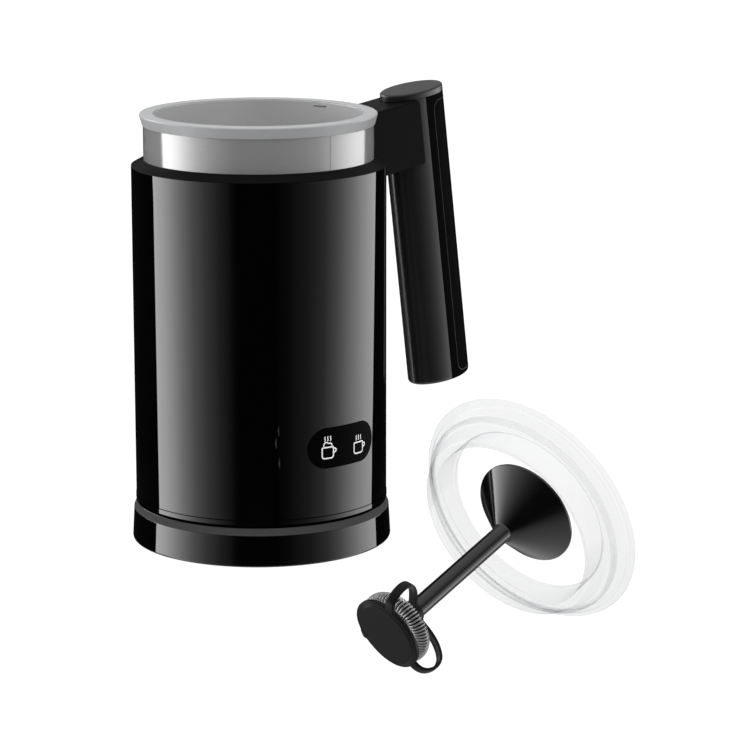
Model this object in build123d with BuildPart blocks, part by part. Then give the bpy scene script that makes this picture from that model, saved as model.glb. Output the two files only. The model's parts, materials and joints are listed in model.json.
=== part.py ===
"""A milk frother: power base, lift-off jug with heater, motor and handle, and a clear lid with its whisk.

Millimetres. The origin is the centre of the base's underside, +Z is up, the handle points along +X and the
touch key faces -Y. The lid is off the jug: it lies in front of it on its rim, with the whisk on the table.
"""

from build123d import *
from math import atan2, cos, hypot, radians, sin, sqrt
import os

# ---- driving dimensions --------------------------------------------------------------------------
# power base
base_step = 1.7  # how far its foot stands out past the jug's shell
base_taper = 0.7  # from its foot to where the bevel starts
base_bevel = 1.2  # width of the bevel
base_height = 16.2
base_bevel_height = 13.2
base_flare_height = 4.0
base_lip = 1.2  # rounding of the lowest edge
base_wall = 2.2
base_underside = 0.4  # lower edge of the shell above the table
cover_thickness = 2.0
cover_clearance = 0.2
base_screw_inset = 9.1  # from the cover's edge
pad_inset = 5.6  # from the cover's edge
pad_radius = 4.0
pad_depth = 1.2
inlet_height = 7.4
inlet_bore = 3.2  # radius, takes a mains cord
inlet_neck = 4.6
inlet_flange = 6.0
inlet_reach = 4.0  # how far the bush stands out behind the base
inlet_depth = 5.7  # how far it reaches into the base
inlet_flange_thickness = 1.0
inlet_round = 1.2

# screws
screw_head = 2.8  # radii of the casing screws
screw_shank = 1.3
screw_head_height = 1.4
screw_boss = 3.4
small_head = 1.9  # radii of the small screws
small_shank = 1.0
small_head_height = 1.2
screw_tip_gap = 1.0  # left under a screw's tip

# 360-degree coupling
tower_radius = 18.6
tower_height = 7.8  # above the deck
plug_flange = 24.0
plug_flange_thickness = 2.1
contact_thickness = 0.7
centre_bore = 3.2
inner_groove = (5.6, 9.0)
outer_groove = (11.5, 15.0)
groove_floor = 1.2  # how far the grooves stop below the deck's top, and the contacts below the tower's
contact_gap = 0.3
socket_radius = 24.0
socket_flange = 27.0
socket_wall_gap = 0.4
socket_flange_thickness = 2.0
socket_roof = 2.2
blade_thickness = 0.8
blade_width = 3.0
blade_tail = 1.6  # above the socket's roof
turning_clearance = 0.06

# jug
jug_gap = 0.4  # between the jug and the base
jug_radius = 51.8
jug_wall = 2.2
jug_top = 155.05
foot_lip = 0.15  # how far the foot stands out past the shell
foot_band = 2.6  # height of the foot's visible rim
foot_recess = 0.8
foot_plate = 2.4
foot_spigot = 6.2
seam = 0.3
fit_gap = 0.2  # between a spigot and the wall that it enters
foot_screw_inset = 7.2  # from the shell's outside
shell_boss_length = 14.0
shell_boss_cap = 1.5
gasket_width = 2.85  # between the bowl and the neck
bowl_wall = 0.8
bowl_floor = 84.0  # height of its inner floor
bowl_corner = 5.2
bowl_flange = 3.5
shoulder_width = 5.05  # from the shell's outside to the neck's
neck_wall = 0.8
neck_foot = 152.0
neck_top = 171.7
shoulder_rise = 2.7
shoulder_edge = 0.25
collar_ledge = 1.0
collar_spigot = 5.75  # how far it reaches down into the shell
rim_lip = 0.35  # how far its foot stands out past the neck
rim_flare = 1.3  # and its top past its foot
rim_step = 0.3  # its bore behind the bowl's wall
rim_height = 4.7
rim_round = 0.5
gasket_height = 3.0
gasket_drop = 3.0  # below the bowl's flange

# heater, motor and magnet drive
heater_bore = 16.0
heater_inset = 5.7  # from the bowl's inside
heater_thickness = 3.8
terminal_inset = 14.6  # from the heater's edge
terminal_spread = 8.0
terminal_length = 5.0
terminal_width = 6.0
sensor_size = (3.0, 7.0, 10.0)
sensor_height = 20.0  # of its middle above the bowl's floor
fuse_radius = 2.0
fuse_length = 13.0
fuse_inset = 10.6  # from the heater's edge
bracket_thickness = 2.4
bracket_margin = 6.0  # around its posts' middles
bracket_drop = 8.0  # plate below the heater
bracket_post_inset = 4.6  # from the heater's edge
bracket_post_radius = 3.2
motor_radius = 13.8
motor_length = 27.0
motor_round = 1.5
motor_nose_radius = 3.2
motor_nose = 2.8
motor_screw_spread = 8.5
motor_screw_depth = 3.6
shaft_radius = 1.15
shaft_clearance = 0.05
shaft_tail = 3.0  # below the motor
shaft_cover = 1.5  # of the carrier above the shaft
carrier_radius = 13.6
carrier_height = 6.0
carrier_gap = 1.0  # below the bowl
carrier_hub_radius = 4.0
carrier_hub_drop = 1.2
magnet_radius = 3.2
magnet_height = 3.0
magnet_circle = 9.2

# boards
board_thickness = 1.6
power_board_height = 28.4
power_board_inner = 27.6
power_board_gap = 0.4  # between it and the foot screws' bosses
standoff_radius = 3.0
relay_size = (9.0, 18.0, 12.0)
capacitor_radius = 4.6
capacitor_height = 16.0
capacitor_round = 0.8

# touch key on the front
key_width = 34.0
key_height = 16.0
key_level = 47.2  # height of its centre
key_gap = 0.35
key_thickness = 2.4
key_pivot_depth = 4.8  # pivot behind the jug's surface
key_pin_radius = 0.75
key_pin_length = 14.0
key_lug_width = 4.0
key_lug_height = 2.5
key_lug_spread = 3.6
key_lug_tail = 1.6  # behind the pin's middle
switch_spread = 11.0
switch_size = 6.0
switch_body = 3.6
switch_clearance = 0.5
plunger_radius = 1.7
plunger_length = 1.1
plunger_gap = 0.35
frame_width = 44.0
frame_height = 22.0
frame_thickness = 1.6
ear_height = 1.8  # the ears that hold the pin
ear_reach = 1.4  # in front of the pin's middle
board_width = 40.0
board_boss = 2.4
frame_depth = 7.2  # front of the frame behind the jug's surface
board_standoff = 1.6
board_screw_spread = 17.4
lamp_spread = 4.6
lamp_radius = 1.3

# handle
handle_tilt = 7.6  # degrees from upright, foot outwards
handle_stand = 33.03  # from the shell's outside to the middle of the handle's top
handle_top_rise = 21.45  # of that point above the jug's shell
handle_half_depth = 15.3
handle_half_width = 10.5
handle_length = 125.3  # without the cap
handle_wall = 4.1
handle_foot_wall = 2.5
handle_foot_round = 1.6
cap_thickness = 2.9
cap_round = 1.0
cap_spigot = 3.4
inlay_half_width = 9.6
inlay_margin = 4.0  # from the handle's foot and from the cap
inlay_thickness = 2.0
inlay_corner = 4.0
inlay_gap = 0.15
bridge_half_width = 10.4
bridge_height = 27.8
bridge_offset = 4.5  # its outer end, inwards of the handle's middle
bridge_corner = 2.5
bridge_gap = 0.1
bridge_wall = 2.2
handle_screw_inset = 6.0
handle_screw_depth = 12.0

# lid, drawn upright with its outer face at height 0 and its skirt and whisk upwards
lid_inset = 1.4  # its edge inside the rim's
lid_bead = 0.6  # how far the rim stands above the outer face
lid_bead_width = 3.4
lid_chamfer = 0.5
lid_edge = 1.1  # where the rim's outer edge ends
lid_edge_slope = 0.6
lid_lip_width = 2.4
lid_shoulder_drop = 0.9
lid_shoulder_height = 3.8
lid_inner_round = 1.2
skirt_clearance = 0.9  # between the skirt and the rim's bore
skirt_step = 7.3  # height where it steps in
skirt_step_depth = 2.0
skirt_step_slope = 0.5
skirt_narrowing = 2.3  # from the step to its free end
skirt_end = 14.7
skirt_wall = 3.2  # at its free end
lid_plate = 2.0
seal_height = 2.6
seal_level = 5.6
seal_groove = 0.9
seal_proud = 0.7
skirt_taper = 0.2
boss_radius = 12.0
boss_wall = 2.0
boss_height = 6.0
ring_radius = 24.0
ring_width = 2.0
ring_height = 1.2
cone_radius = 20.6
cone_edge = 1.0
cone_end_radius = 4.1
cone_end = 17.6
cone_waist = (5.4, 9.0)  # a point of its flared side, from the small end's radius and the wide end's face
cone_foot_slope = (-1.0, 0.42)  # direction of the side at the wide end, in radius and height
cone_end_slope = (-0.42, 1.0)
rod_radius = 3.5
rod_spigot_radius = 2.0
rod_spigot = 6.0  # into the cone
rod_tip = 4.0  # into the whisk
push_clearance = 0.06
seat_gap = 0.3

# whisk, measured from the underside of its plate
whisk_depth = 88.0  # from the lid's outer face to the whisk's underside
whisk_height = 17.0
whisk_lobe_radius = 14.8
whisk_waist_radius = 12.4
whisk_plate = 2.2
whisk_lobe_round = 5.2
strap_reach = 18.0  # outermost radius of the straps
strap_level = 7.5  # height of their widest place
strap_width = 3.8
strap_thickness = 1.4
strap_drop = 1.6  # of their middle below the hub's end
hub_radius = 5.0
hub_length = 5.0
coil_radius = 13.0
coil_tube_radius = 3.5
coil_seat = 0.1  # between the coil and the plate
whisk_magnet_radius = 2.4
whisk_magnet_height = 1.2
whisk_magnet_circle = 10.6
whisk_magnet_cover = 0.5
strap_turn = 10.0  # degrees

# where the lid lies
lid_place_x = -7.73
lid_place_y = -163.71
lid_heading = 186.8  # degrees, direction of the whisk seen from above

os.makedirs("parts", exist_ok=True)


def save(piece, name, place=None):
    """Labels a finished piece, lays it in place and writes it."""
    solid = piece.part.moved(place) if place else piece.part
    solid.label = name
    export_step(solid, f"parts/{name}.step")


def turn(outline, mode=Mode.ADD):
    """Adds or cuts the solid turned about Z from a closed outline of (radius, height) points."""
    with BuildSketch(Plane.XZ) as profile:
        with BuildLine():
            Polyline(*outline, close=True)
        make_face()
    revolve(profile.sketch, axis=Axis.Z, mode=mode)


def tube(inner, outer, low, high, mode=Mode.ADD):
    """Adds or cuts a ring between two radii and two heights."""
    turn([(inner, low), (outer, low), (outer, high), (inner, high)], mode)


def pillars(places, radius, low, high, mode=Mode.ADD):
    """Adds or cuts upright round pillars at (x, y) places."""
    with BuildSketch(Plane.XY.offset(low)) as circles:
        with Locations(*places):
            Circle(radius)
    extrude(circles.sketch, amount=high - low, mode=mode)


def spread(radius, first, count=3):
    """Places on a circle, the first one at an angle in degrees."""
    turns = [radians(first + 360 / count * i) for i in range(count)]
    return [(radius * cos(t), radius * sin(t)) for t in turns]


# ---- power base ----------------------------------------------------------------------------------
base_radius = jug_radius + base_step  # at its foot
base_bevel_radius = base_radius - base_taper
base_top_radius = base_bevel_radius - base_bevel
deck = base_height - base_wall  # underside of the deck
deck_hole = tower_radius + socket_wall_gap
inner_foot = base_radius - base_wall
cover_radius = inner_foot - cover_clearance
base_screws_at = spread(cover_radius - base_screw_inset, 30)

with BuildPart() as base_shell:
    turn(
        [
            (deck_hole, deck),
            (deck_hole, base_height),
            (base_top_radius, base_height),
            (base_bevel_radius, base_bevel_height),
            (base_radius, base_flare_height),
            (base_radius - base_lip / 3, base_lip + base_underside),
            (base_radius - base_lip, base_underside),
            (inner_foot, base_underside),
            (inner_foot, base_flare_height),
            (base_bevel_radius - base_wall, base_bevel_height - base_wall / 2),
            (base_top_radius - base_wall, deck),
        ]
    )
    pillars(base_screws_at, screw_boss, cover_thickness, deck + base_wall / 2)
    pillars(base_screws_at, screw_shank, cover_thickness, deck - base_wall / 2, Mode.SUBTRACT)
    with BuildSketch(Plane.XZ.offset(-base_radius - inlet_reach)):
        with Locations((0, inlet_height)):
            Circle(inlet_neck)
    extrude(amount=inlet_reach + inlet_depth, mode=Mode.SUBTRACT)
save(base_shell, "base_shell")

pads_at = spread(cover_radius - pad_inset, 90)
with BuildPart() as base_cover:
    tube(0, cover_radius, 0, cover_thickness)
    pillars(base_screws_at, screw_head + fit_gap, 0, screw_head_height, Mode.SUBTRACT)
    pillars(base_screws_at, screw_shank + fit_gap, 0, cover_thickness, Mode.SUBTRACT)
    pillars(pads_at, pad_radius, 0, pad_depth, Mode.SUBTRACT)
save(base_cover, "base_cover")

with BuildPart() as base_pads:
    pillars(pads_at, pad_radius, 0, pad_depth)
save(base_pads, "base_pads")

with BuildPart() as base_screws:
    pillars(base_screws_at, screw_head, fit_gap, screw_head_height)
    pillars(base_screws_at, screw_shank, screw_head_height, deck - base_wall)
save(base_screws, "base_screws")

# the bush that the mains cord would come in through, at the back
with BuildPart() as cord_inlet:
    inlet_tip = base_radius + inlet_reach
    flange_back = base_radius + inlet_round - base_lip / 4
    with BuildSketch(Plane.XZ.offset(-inlet_tip)):
        with Locations((0, inlet_height)):
            Circle(inlet_neck)
    extrude(amount=inlet_reach + inlet_depth)
    with BuildSketch(Plane.XZ.offset(-flange_back)):
        with Locations((0, inlet_height)):
            Circle(inlet_flange)
    extrude(amount=inlet_flange_thickness)
    fillet(cord_inlet.edges().filter_by(GeomType.CIRCLE).sort_by(Axis.Y)[-1], inlet_round)
    with BuildSketch(Plane.XZ.offset(-inlet_tip)):
        with Locations((0, inlet_height)):
            Circle(inlet_bore)
    extrude(amount=inlet_reach + inlet_depth, mode=Mode.SUBTRACT)
save(cord_inlet, "cord_inlet")

tower_top = base_height + tower_height
groove_low = base_height - groove_floor
plug_low = deck - plug_flange_thickness
with BuildPart() as base_plug:
    turn(
        [
            (centre_bore, plug_low),
            (plug_flange, plug_low),
            (plug_flange, deck),
            (tower_radius, deck),
            (tower_radius, tower_top),
            (outer_groove[1], tower_top),
            (outer_groove[1], groove_low),
            (outer_groove[0], groove_low),
            (outer_groove[0], tower_top),
            (inner_groove[1], tower_top),
            (inner_groove[1], groove_low),
            (inner_groove[0], groove_low),
            (inner_groove[0], tower_top),
            (centre_bore, tower_top),
        ]
    )
save(base_plug, "base_plug")

contact_top = tower_top - groove_floor
with BuildPart() as plug_contacts:
    tube(centre_bore - contact_thickness, centre_bore, plug_low, contact_top)
    tube(inner_groove[1] - contact_thickness, inner_groove[1], groove_low, contact_top)
    tube(outer_groove[1] - contact_thickness, outer_groove[1], groove_low, contact_top)
save(plug_contacts, "plug_contacts")

# ---- socket under the jug ------------------------------------------------------------------------
jug_bottom = base_height + jug_gap
plate_low = jug_bottom + foot_recess
plate_top = plate_low + foot_plate
roof_low = tower_top + socket_wall_gap
roof_top = roof_low + socket_roof
flange_low = plate_top + seat_gap
blade_places = [
    outer_groove[1] - contact_thickness - contact_gap - blade_thickness / 2,
    -(inner_groove[1] - contact_thickness - contact_gap - blade_thickness / 2),
]
pin_radius = centre_bore - contact_thickness - contact_gap
with BuildPart() as jug_socket:
    turn(
        [
            (0, roof_low),
            (tower_radius + socket_wall_gap, roof_low),
            (tower_radius + socket_wall_gap, jug_bottom + seat_gap),
            (socket_radius, jug_bottom + seat_gap),
            (socket_radius, flange_low),
            (socket_flange, flange_low),
            (socket_flange, flange_low + socket_flange_thickness),
            (socket_radius, flange_low + socket_flange_thickness),
            (socket_radius, roof_top),
            (0, roof_top),
        ]
    )
    pillars([(0, 0)], pin_radius, roof_low, roof_top, Mode.SUBTRACT)
    with BuildSketch(Plane.XY.offset(roof_low)):
        with Locations(*[(x, 0) for x in blade_places]):
            Rectangle(blade_thickness, blade_width)
    extrude(amount=socket_roof, mode=Mode.SUBTRACT)
save(jug_socket, "jug_socket")

with BuildPart() as socket_contacts:
    pillars([(0, 0)], pin_radius, groove_low + seat_gap, roof_top + blade_tail)
    with BuildSketch(Plane.XY.offset(groove_low + seat_gap)):
        with Locations(*[(x, 0) for x in blade_places]):
            Rectangle(blade_thickness, blade_width)
    extrude(amount=roof_top + blade_tail - groove_low - seat_gap)
save(socket_contacts, "socket_contacts")

# ---- jug: foot, shell, collar, neck, bowl and rim ------------------------------------------------
foot_radius = jug_radius + foot_lip
foot_screw_circle = jug_radius - foot_screw_inset
shell_inner = jug_radius - jug_wall
shell_boss = shell_inner - foot_screw_circle + fit_gap
power_board_outer = foot_screw_circle - shell_boss - power_board_gap
spigot_outer = shell_inner - fit_gap
shell_low = jug_bottom + foot_band + seam
spigot_top = plate_top + foot_spigot
foot_screws_at = spread(foot_screw_circle, 90)
standoffs_at = spread(power_board_inner + standoff_radius + fit_gap, 90)
power_board_low = power_board_height
with BuildPart() as jug_foot:
    turn(
        [
            (socket_radius + turning_clearance, plate_low),
            (spigot_outer, plate_low),
            (spigot_outer, jug_bottom),
            (foot_radius - foot_recess, jug_bottom),
            (foot_radius, jug_bottom + foot_recess),
            (foot_radius, jug_bottom + foot_band),
            (spigot_outer, jug_bottom + foot_band),
            (spigot_outer, spigot_top),
            (spigot_outer - jug_wall, spigot_top),
            (spigot_outer - jug_wall, plate_top),
            (socket_radius + turning_clearance, plate_top),
        ]
    )
    pillars(foot_screws_at, screw_boss, plate_top - foot_plate / 2, spigot_top)
    pillars(standoffs_at, standoff_radius, plate_top - foot_plate / 2, power_board_low)
    pillars(foot_screws_at, screw_head + fit_gap, plate_low, plate_low + screw_head_height, Mode.SUBTRACT)
    pillars(foot_screws_at, screw_shank + fit_gap, plate_low, spigot_top, Mode.SUBTRACT)
save(jug_foot, "jug_foot")

boss_low = spigot_top + seam
boss_top = boss_low + shell_boss_length
with BuildPart() as foot_screws:
    pillars(foot_screws_at, screw_head, plate_low + fit_gap, plate_low + screw_head_height)
    foot_screw_tip = boss_top - shell_boss_cap - screw_tip_gap
    pillars(foot_screws_at, screw_shank, plate_low + screw_head_height, foot_screw_tip)
save(foot_screws, "foot_screws")

with BuildPart() as jug_shell:
    tube(shell_inner, jug_radius, shell_low, jug_top)
    pillars(foot_screws_at, shell_boss, boss_low, boss_top)
    pillars(foot_screws_at, screw_shank, boss_low, boss_top - shell_boss_cap, Mode.SUBTRACT)
    with BuildSketch(Plane.XZ):
        with Locations((0, key_level)):
            SlotOverall(key_width + 2 * key_gap, key_height + 2 * key_gap)
    extrude(amount=2 * jug_radius, mode=Mode.SUBTRACT)
save(jug_shell, "jug_shell")

neck_radius = jug_radius - shoulder_width
neck_inner = neck_radius - neck_wall
rim_low = neck_top
rim_bottom_radius = neck_radius + rim_lip
rim_top_radius = rim_bottom_radius + rim_flare
tilt = radians(handle_tilt)
handle_foot_reach = jug_radius + handle_stand + handle_length * sin(tilt)
handle_foot = (handle_foot_reach, 0, jug_top + handle_top_rise - handle_length * cos(tilt))
outwards = (cos(tilt), 0, sin(tilt))
upwards = (-sin(tilt), 0, cos(tilt))
handle_plane = Plane(origin=handle_foot, x_dir=outwards, z_dir=upwards)
side_plane = Plane(origin=handle_foot, x_dir=outwards, z_dir=(0, -1, 0))
bridge_top = handle_length - seam
bridge_low = bridge_top - bridge_height
screw_levels = [bridge_low + handle_screw_inset, bridge_top - handle_screw_inset - cap_spigot / 2]


def handle_bores(radius, start, end, mode=Mode.SUBTRACT):
    """Cuts, or adds, round bars across the handle at both screws, between two depths on its outward side."""
    bore_plane = Plane(origin=handle_foot, x_dir=(0, 1, 0), z_dir=outwards)
    with BuildSketch(bore_plane.offset(start)) as circles:
        with Locations(*[(0, level) for level in screw_levels]):
            Circle(radius)
    extrude(circles.sketch, amount=end - start, mode=mode)


# one moulding: the shoulder that holds the steel neck, and the block that carries the handle
with BuildPart() as shoulder_collar:
    with BuildSketch(side_plane):
        with BuildLine():
            Polyline(
                (-handle_foot_reach, bridge_low),
                (-bridge_offset, bridge_low),
                (-bridge_offset, bridge_top),
                (-handle_foot_reach, bridge_top),
                close=True,
            )
        make_face()
    extrude(amount=bridge_half_width, both=True)
    rounded = shoulder_collar.edges().filter_by(Axis.Y).sort_by(lambda e: e.center().X)[-2:]
    fillet(rounded.sort_by(Axis.Z)[-1], bridge_corner)
    turn(
        [
            (0, 0),
            (jug_radius + fit_gap / 4, 0),
            (jug_radius + fit_gap / 4, jug_top),
            (neck_radius + turning_clearance, jug_top),
            (neck_radius + turning_clearance, rim_low - seam),
            (rim_top_radius + seam, rim_low - seam),
            (rim_top_radius + seam, rim_low + 4 * rim_height),
            (0, rim_low + 4 * rim_height),
        ],
        Mode.SUBTRACT,
    )
    turn(
        [
            (neck_inner - collar_ledge, jug_top - collar_spigot),
            (spigot_outer, jug_top - collar_spigot),
            (spigot_outer, jug_top),
            (jug_radius, jug_top),
            (jug_radius, jug_top + shoulder_edge),
            (neck_radius + turning_clearance, jug_top + shoulder_edge + shoulder_rise),
            (neck_radius + turning_clearance, neck_foot),
            (neck_inner - collar_ledge, neck_foot),
        ]
    )
    handle_bores(screw_shank, -bridge_offset - handle_screw_depth - screw_tip_gap, -bridge_offset)
save(shoulder_collar, "shoulder_collar")

with BuildPart() as neck_band:
    tube(neck_inner, neck_radius, neck_foot, neck_top)
save(neck_band, "neck_band")

bowl_outer = neck_inner - gasket_width
bowl_radius = bowl_outer - bowl_wall  # inside
rim_bore = bowl_radius + rim_step
bowl_low = bowl_floor - bowl_wall
flange_radius = bowl_outer + bowl_flange - bowl_wall
with BuildPart() as steel_bowl:
    turn(
        [
            (0, bowl_low),
            (bowl_outer, bowl_low),
            (bowl_outer, neck_top - bowl_wall),
            (flange_radius, neck_top - bowl_wall),
            (flange_radius, neck_top),
            (bowl_radius, neck_top),
            (bowl_radius, bowl_floor),
            (0, bowl_floor),
        ]
    )
    circles = steel_bowl.edges().filter_by(GeomType.CIRCLE).group_by(Axis.Z)
    fillet(circles[0] + circles[1], bowl_corner)
save(steel_bowl, "steel_bowl")

rim_top = rim_low + rim_height
with BuildPart() as rim_ring:
    turn(
        [
            (rim_bore, rim_low),
            (rim_bottom_radius, rim_low),
            (rim_top_radius, rim_top - 2 * rim_round),
            (rim_top_radius, rim_top),
            (rim_bore, rim_top),
        ]
    )
    fillet(rim_ring.edges().filter_by(GeomType.CIRCLE).group_by(Axis.Z)[-1], rim_round)
save(rim_ring, "rim_ring")

with BuildPart() as bowl_gasket:
    gasket_top = neck_top - gasket_drop
    tube(bowl_outer, neck_inner, gasket_top - gasket_height, gasket_top)
save(bowl_gasket, "bowl_gasket")

# ---- heater, sensors, motor and magnet drive -----------------------------------------------------
heater_radius = bowl_radius - heater_inset
heater_low = bowl_low - heater_thickness
terminal_circle = heater_radius - terminal_inset
fuse_circle = heater_radius - fuse_inset
bracket_post_circle = heater_radius - bracket_post_inset
bracket_radius = bracket_post_circle + bracket_margin
posts_at = spread(bracket_post_circle, 30)
bracket_top = heater_low - bracket_drop
bracket_low = bracket_top - bracket_thickness
with BuildPart() as heater_plate:
    tube(heater_bore, heater_radius, heater_low, bowl_low)
    with BuildSketch(Plane.XY.offset(heater_low - terminal_length)):
        with Locations((-terminal_circle, -terminal_spread), (-terminal_circle, terminal_spread)):
            Rectangle(blade_thickness, terminal_width)
    extrude(amount=terminal_length)
    pillars(posts_at, screw_shank, heater_low, bowl_low - screw_tip_gap, Mode.SUBTRACT)
save(heater_plate, "heater_plate")

with BuildPart() as temperature_sensor:
    with Locations((-bowl_outer - sensor_size[0] / 2, 0, bowl_floor + sensor_height)):
        Box(*sensor_size)
save(temperature_sensor, "temperature_sensor")

with BuildPart() as thermal_fuse:
    with BuildSketch(Plane.YZ.offset(-fuse_length / 2)):
        with Locations((fuse_circle, heater_low - fuse_radius)):
            Circle(fuse_radius)
    extrude(amount=fuse_length)
save(thermal_fuse, "thermal_fuse")

motor_screws_at = [(-motor_screw_spread, 0), (motor_screw_spread, 0)]
with BuildPart() as motor_bracket:
    tube(motor_nose_radius, bracket_radius, bracket_low, bracket_top)
    pillars(posts_at, bracket_post_radius, bracket_top - bracket_thickness / 2, heater_low)
    pillars(posts_at, screw_shank, bracket_low, heater_low, Mode.SUBTRACT)
    pillars(motor_screws_at, small_shank, bracket_low, bracket_top, Mode.SUBTRACT)
save(motor_bracket, "motor_bracket")

with BuildPart() as bracket_screws:
    pillars(posts_at, screw_head, bracket_low - screw_head_height, bracket_low)
    pillars(posts_at, screw_shank, bracket_low, bowl_low - 1.2 * screw_tip_gap)
save(bracket_screws, "bracket_screws")

motor_low = bracket_low - motor_length
with BuildPart() as motor:
    tube(shaft_radius + shaft_clearance, motor_radius, motor_low, bracket_low)
    lowest_edges = motor.edges().filter_by(GeomType.CIRCLE).group_by(Axis.Z)[0]
    fillet(lowest_edges.sort_by(SortBy.RADIUS)[-1], motor_round)
    tube(shaft_radius + shaft_clearance, motor_nose_radius, bracket_low, bracket_low + motor_nose)
    screw_floor = bracket_low - motor_screw_depth - screw_tip_gap
    pillars(motor_screws_at, small_shank, screw_floor, bracket_low, Mode.SUBTRACT)
save(motor, "motor")

with BuildPart() as motor_screws:
    pillars(motor_screws_at, small_head, bracket_top, bracket_top + small_head_height)
    pillars(motor_screws_at, small_shank, bracket_low - motor_screw_depth, bracket_top)
save(motor_screws, "motor_screws")

carrier_top = bowl_low - carrier_gap
carrier_low = carrier_top - carrier_height
hub_low = carrier_low - carrier_hub_drop
shaft_top = carrier_top - shaft_cover
magnets_at = spread(magnet_circle, 90)
with BuildPart() as magnet_carrier:
    tube(0, carrier_radius, carrier_low, carrier_top)
    tube(0, carrier_hub_radius, hub_low, carrier_low)
    pillars([(0, 0)], shaft_radius, hub_low, shaft_top, Mode.SUBTRACT)
    pillars(magnets_at, magnet_radius, carrier_top - magnet_height, carrier_top, Mode.SUBTRACT)
save(magnet_carrier, "magnet_carrier")

with BuildPart() as drive_magnets:
    pillars(magnets_at, magnet_radius, carrier_top - magnet_height, carrier_top)
save(drive_magnets, "drive_magnets")

with BuildPart() as motor_shaft:
    pillars([(0, 0)], shaft_radius, motor_low - shaft_tail, shaft_top)
save(motor_shaft, "motor_shaft")

# ---- power board ---------------------------------------------------------------------------------
board_top = power_board_low + board_thickness
board_middle = (power_board_inner + power_board_outer) / 2
with BuildPart() as power_board:
    tube(power_board_inner, power_board_outer, power_board_low, board_top)
save(power_board, "power_board")

with BuildPart() as relay:
    with Locations((-board_middle, 0, board_top + relay_size[2] / 2)):
        Box(*relay_size)
save(relay, "relay")

with BuildPart() as capacitor:
    pillars([(board_middle, 0)], capacitor_radius, board_top, board_top + capacitor_height)
    fillet(capacitor.edges().filter_by(GeomType.CIRCLE).group_by(Axis.Z)[-1], capacitor_round)
save(capacitor, "capacitor")

# ---- touch key, its frame, board, switches and lamps ---------------------------------------------
pivot_y = -(jug_radius - key_pivot_depth)
frame_front = -(jug_radius - frame_depth)
frame_back = frame_front + frame_thickness
board_front = frame_back + board_standoff
board_back = board_front + board_thickness
plunger_tip = board_front - switch_body - plunger_length


def front_block(width, height, front, back, places, mode=Mode.ADD):
    """Adds or cuts rectangular blocks between two depths (y), centred on (x, z) places."""
    with BuildSketch(Plane.XZ.offset(-front)) as blocks:
        with Locations(*places):
            Rectangle(width, height)
    extrude(blocks.sketch, amount=front - back, mode=mode)


def front_bar(radius, front, back, places, mode=Mode.ADD):
    """Adds or cuts round bars between two depths (y), centred on (x, z) places."""
    with BuildSketch(Plane.XZ.offset(-front)) as circles:
        with Locations(*places):
            Circle(radius)
    extrude(circles.sketch, amount=front - back, mode=mode)


switches_at = [(-switch_spread, key_level), (switch_spread, key_level)]
switch_window = switch_size + 2 * switch_clearance
with BuildPart() as touch_key:
    with BuildSketch(Plane.XZ):
        with Locations((0, key_level)):
            SlotOverall(key_width, key_height)
    extrude(amount=2 * jug_radius)
    tube(jug_radius - key_thickness, jug_radius, 0, 2 * key_level, Mode.INTERSECT)
    key_middle = jug_radius - key_thickness / 2
    lugs_at = [(0, key_level - key_lug_spread), (0, key_level + key_lug_spread)]
    front_block(key_lug_width, key_lug_height, -key_middle, pivot_y + key_lug_tail, lugs_at)
    plunger_root = -sqrt(key_middle**2 - switch_spread**2)
    front_bar(plunger_radius, plunger_root, plunger_tip - plunger_gap, switches_at)
    pillars([(0, pivot_y)], key_pin_radius + shaft_clearance, 0, 2 * key_level, Mode.SUBTRACT)
save(touch_key, "touch_key")

with BuildPart() as key_pin:
    pin_half = key_pin_length / 2
    pillars([(0, pivot_y)], key_pin_radius, key_level - pin_half, key_level + pin_half)
save(key_pin, "key_pin")

ear_level = pin_half - ear_height / 2
ears_at = [(0, key_level - ear_level), (0, key_level + ear_level)]
board_screws_at = [(-board_screw_spread, key_level), (board_screw_spread, key_level)]
lamps_at = [(-lamp_spread, key_level), (lamp_spread, key_level)]
with BuildPart() as board_frame:
    front_block(frame_width, frame_height, frame_front, frame_back, [(0, key_level)])
    front_block(key_lug_width, ear_height, pivot_y - ear_reach, frame_back, ears_at)
    front_bar(board_boss, frame_back, board_front, board_screws_at)
    front_bar(small_shank, frame_front, board_front, board_screws_at, Mode.SUBTRACT)
    front_block(switch_window, switch_window, frame_front, frame_back, switches_at, Mode.SUBTRACT)
    front_bar(lamp_radius + fit_gap, frame_front, frame_back, lamps_at, Mode.SUBTRACT)
    pillars([(0, pivot_y)], key_pin_radius, 0, 2 * key_level, Mode.SUBTRACT)
    tube(0, shell_inner, 0, 2 * key_level, Mode.INTERSECT)
save(board_frame, "board_frame")

with BuildPart() as control_board:
    front_block(board_width, frame_height, board_front, board_back, [(0, key_level)])
    front_bar(small_shank, board_front, board_back, board_screws_at, Mode.SUBTRACT)
save(control_board, "control_board")

with BuildPart() as board_screws:
    front_bar(small_head, board_back, board_back + small_head_height, board_screws_at)
    front_bar(small_shank, frame_back, board_back, board_screws_at)
save(board_screws, "board_screws")

with BuildPart() as push_switches:
    front_block(switch_size, switch_size, board_front - switch_body, board_front, switches_at)
    front_bar(plunger_radius, plunger_tip, board_front - switch_body, switches_at)
save(push_switches, "push_switches")

with BuildPart() as panel_lamps:
    front_bar(lamp_radius, frame_front, board_front, lamps_at)
    fillet(panel_lamps.edges().filter_by(GeomType.CIRCLE).group_by(Axis.Y)[0], lamp_radius / 2)
save(panel_lamps, "panel_lamps")

# ---- handle --------------------------------------------------------------------------------------
inlay_length = handle_length - 2 * inlay_margin
inlay_plane = Plane(origin=handle_foot, x_dir=(0, 1, 0), z_dir=outwards)
core_depth = handle_half_depth - handle_wall
core_width = handle_half_width - handle_wall


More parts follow.
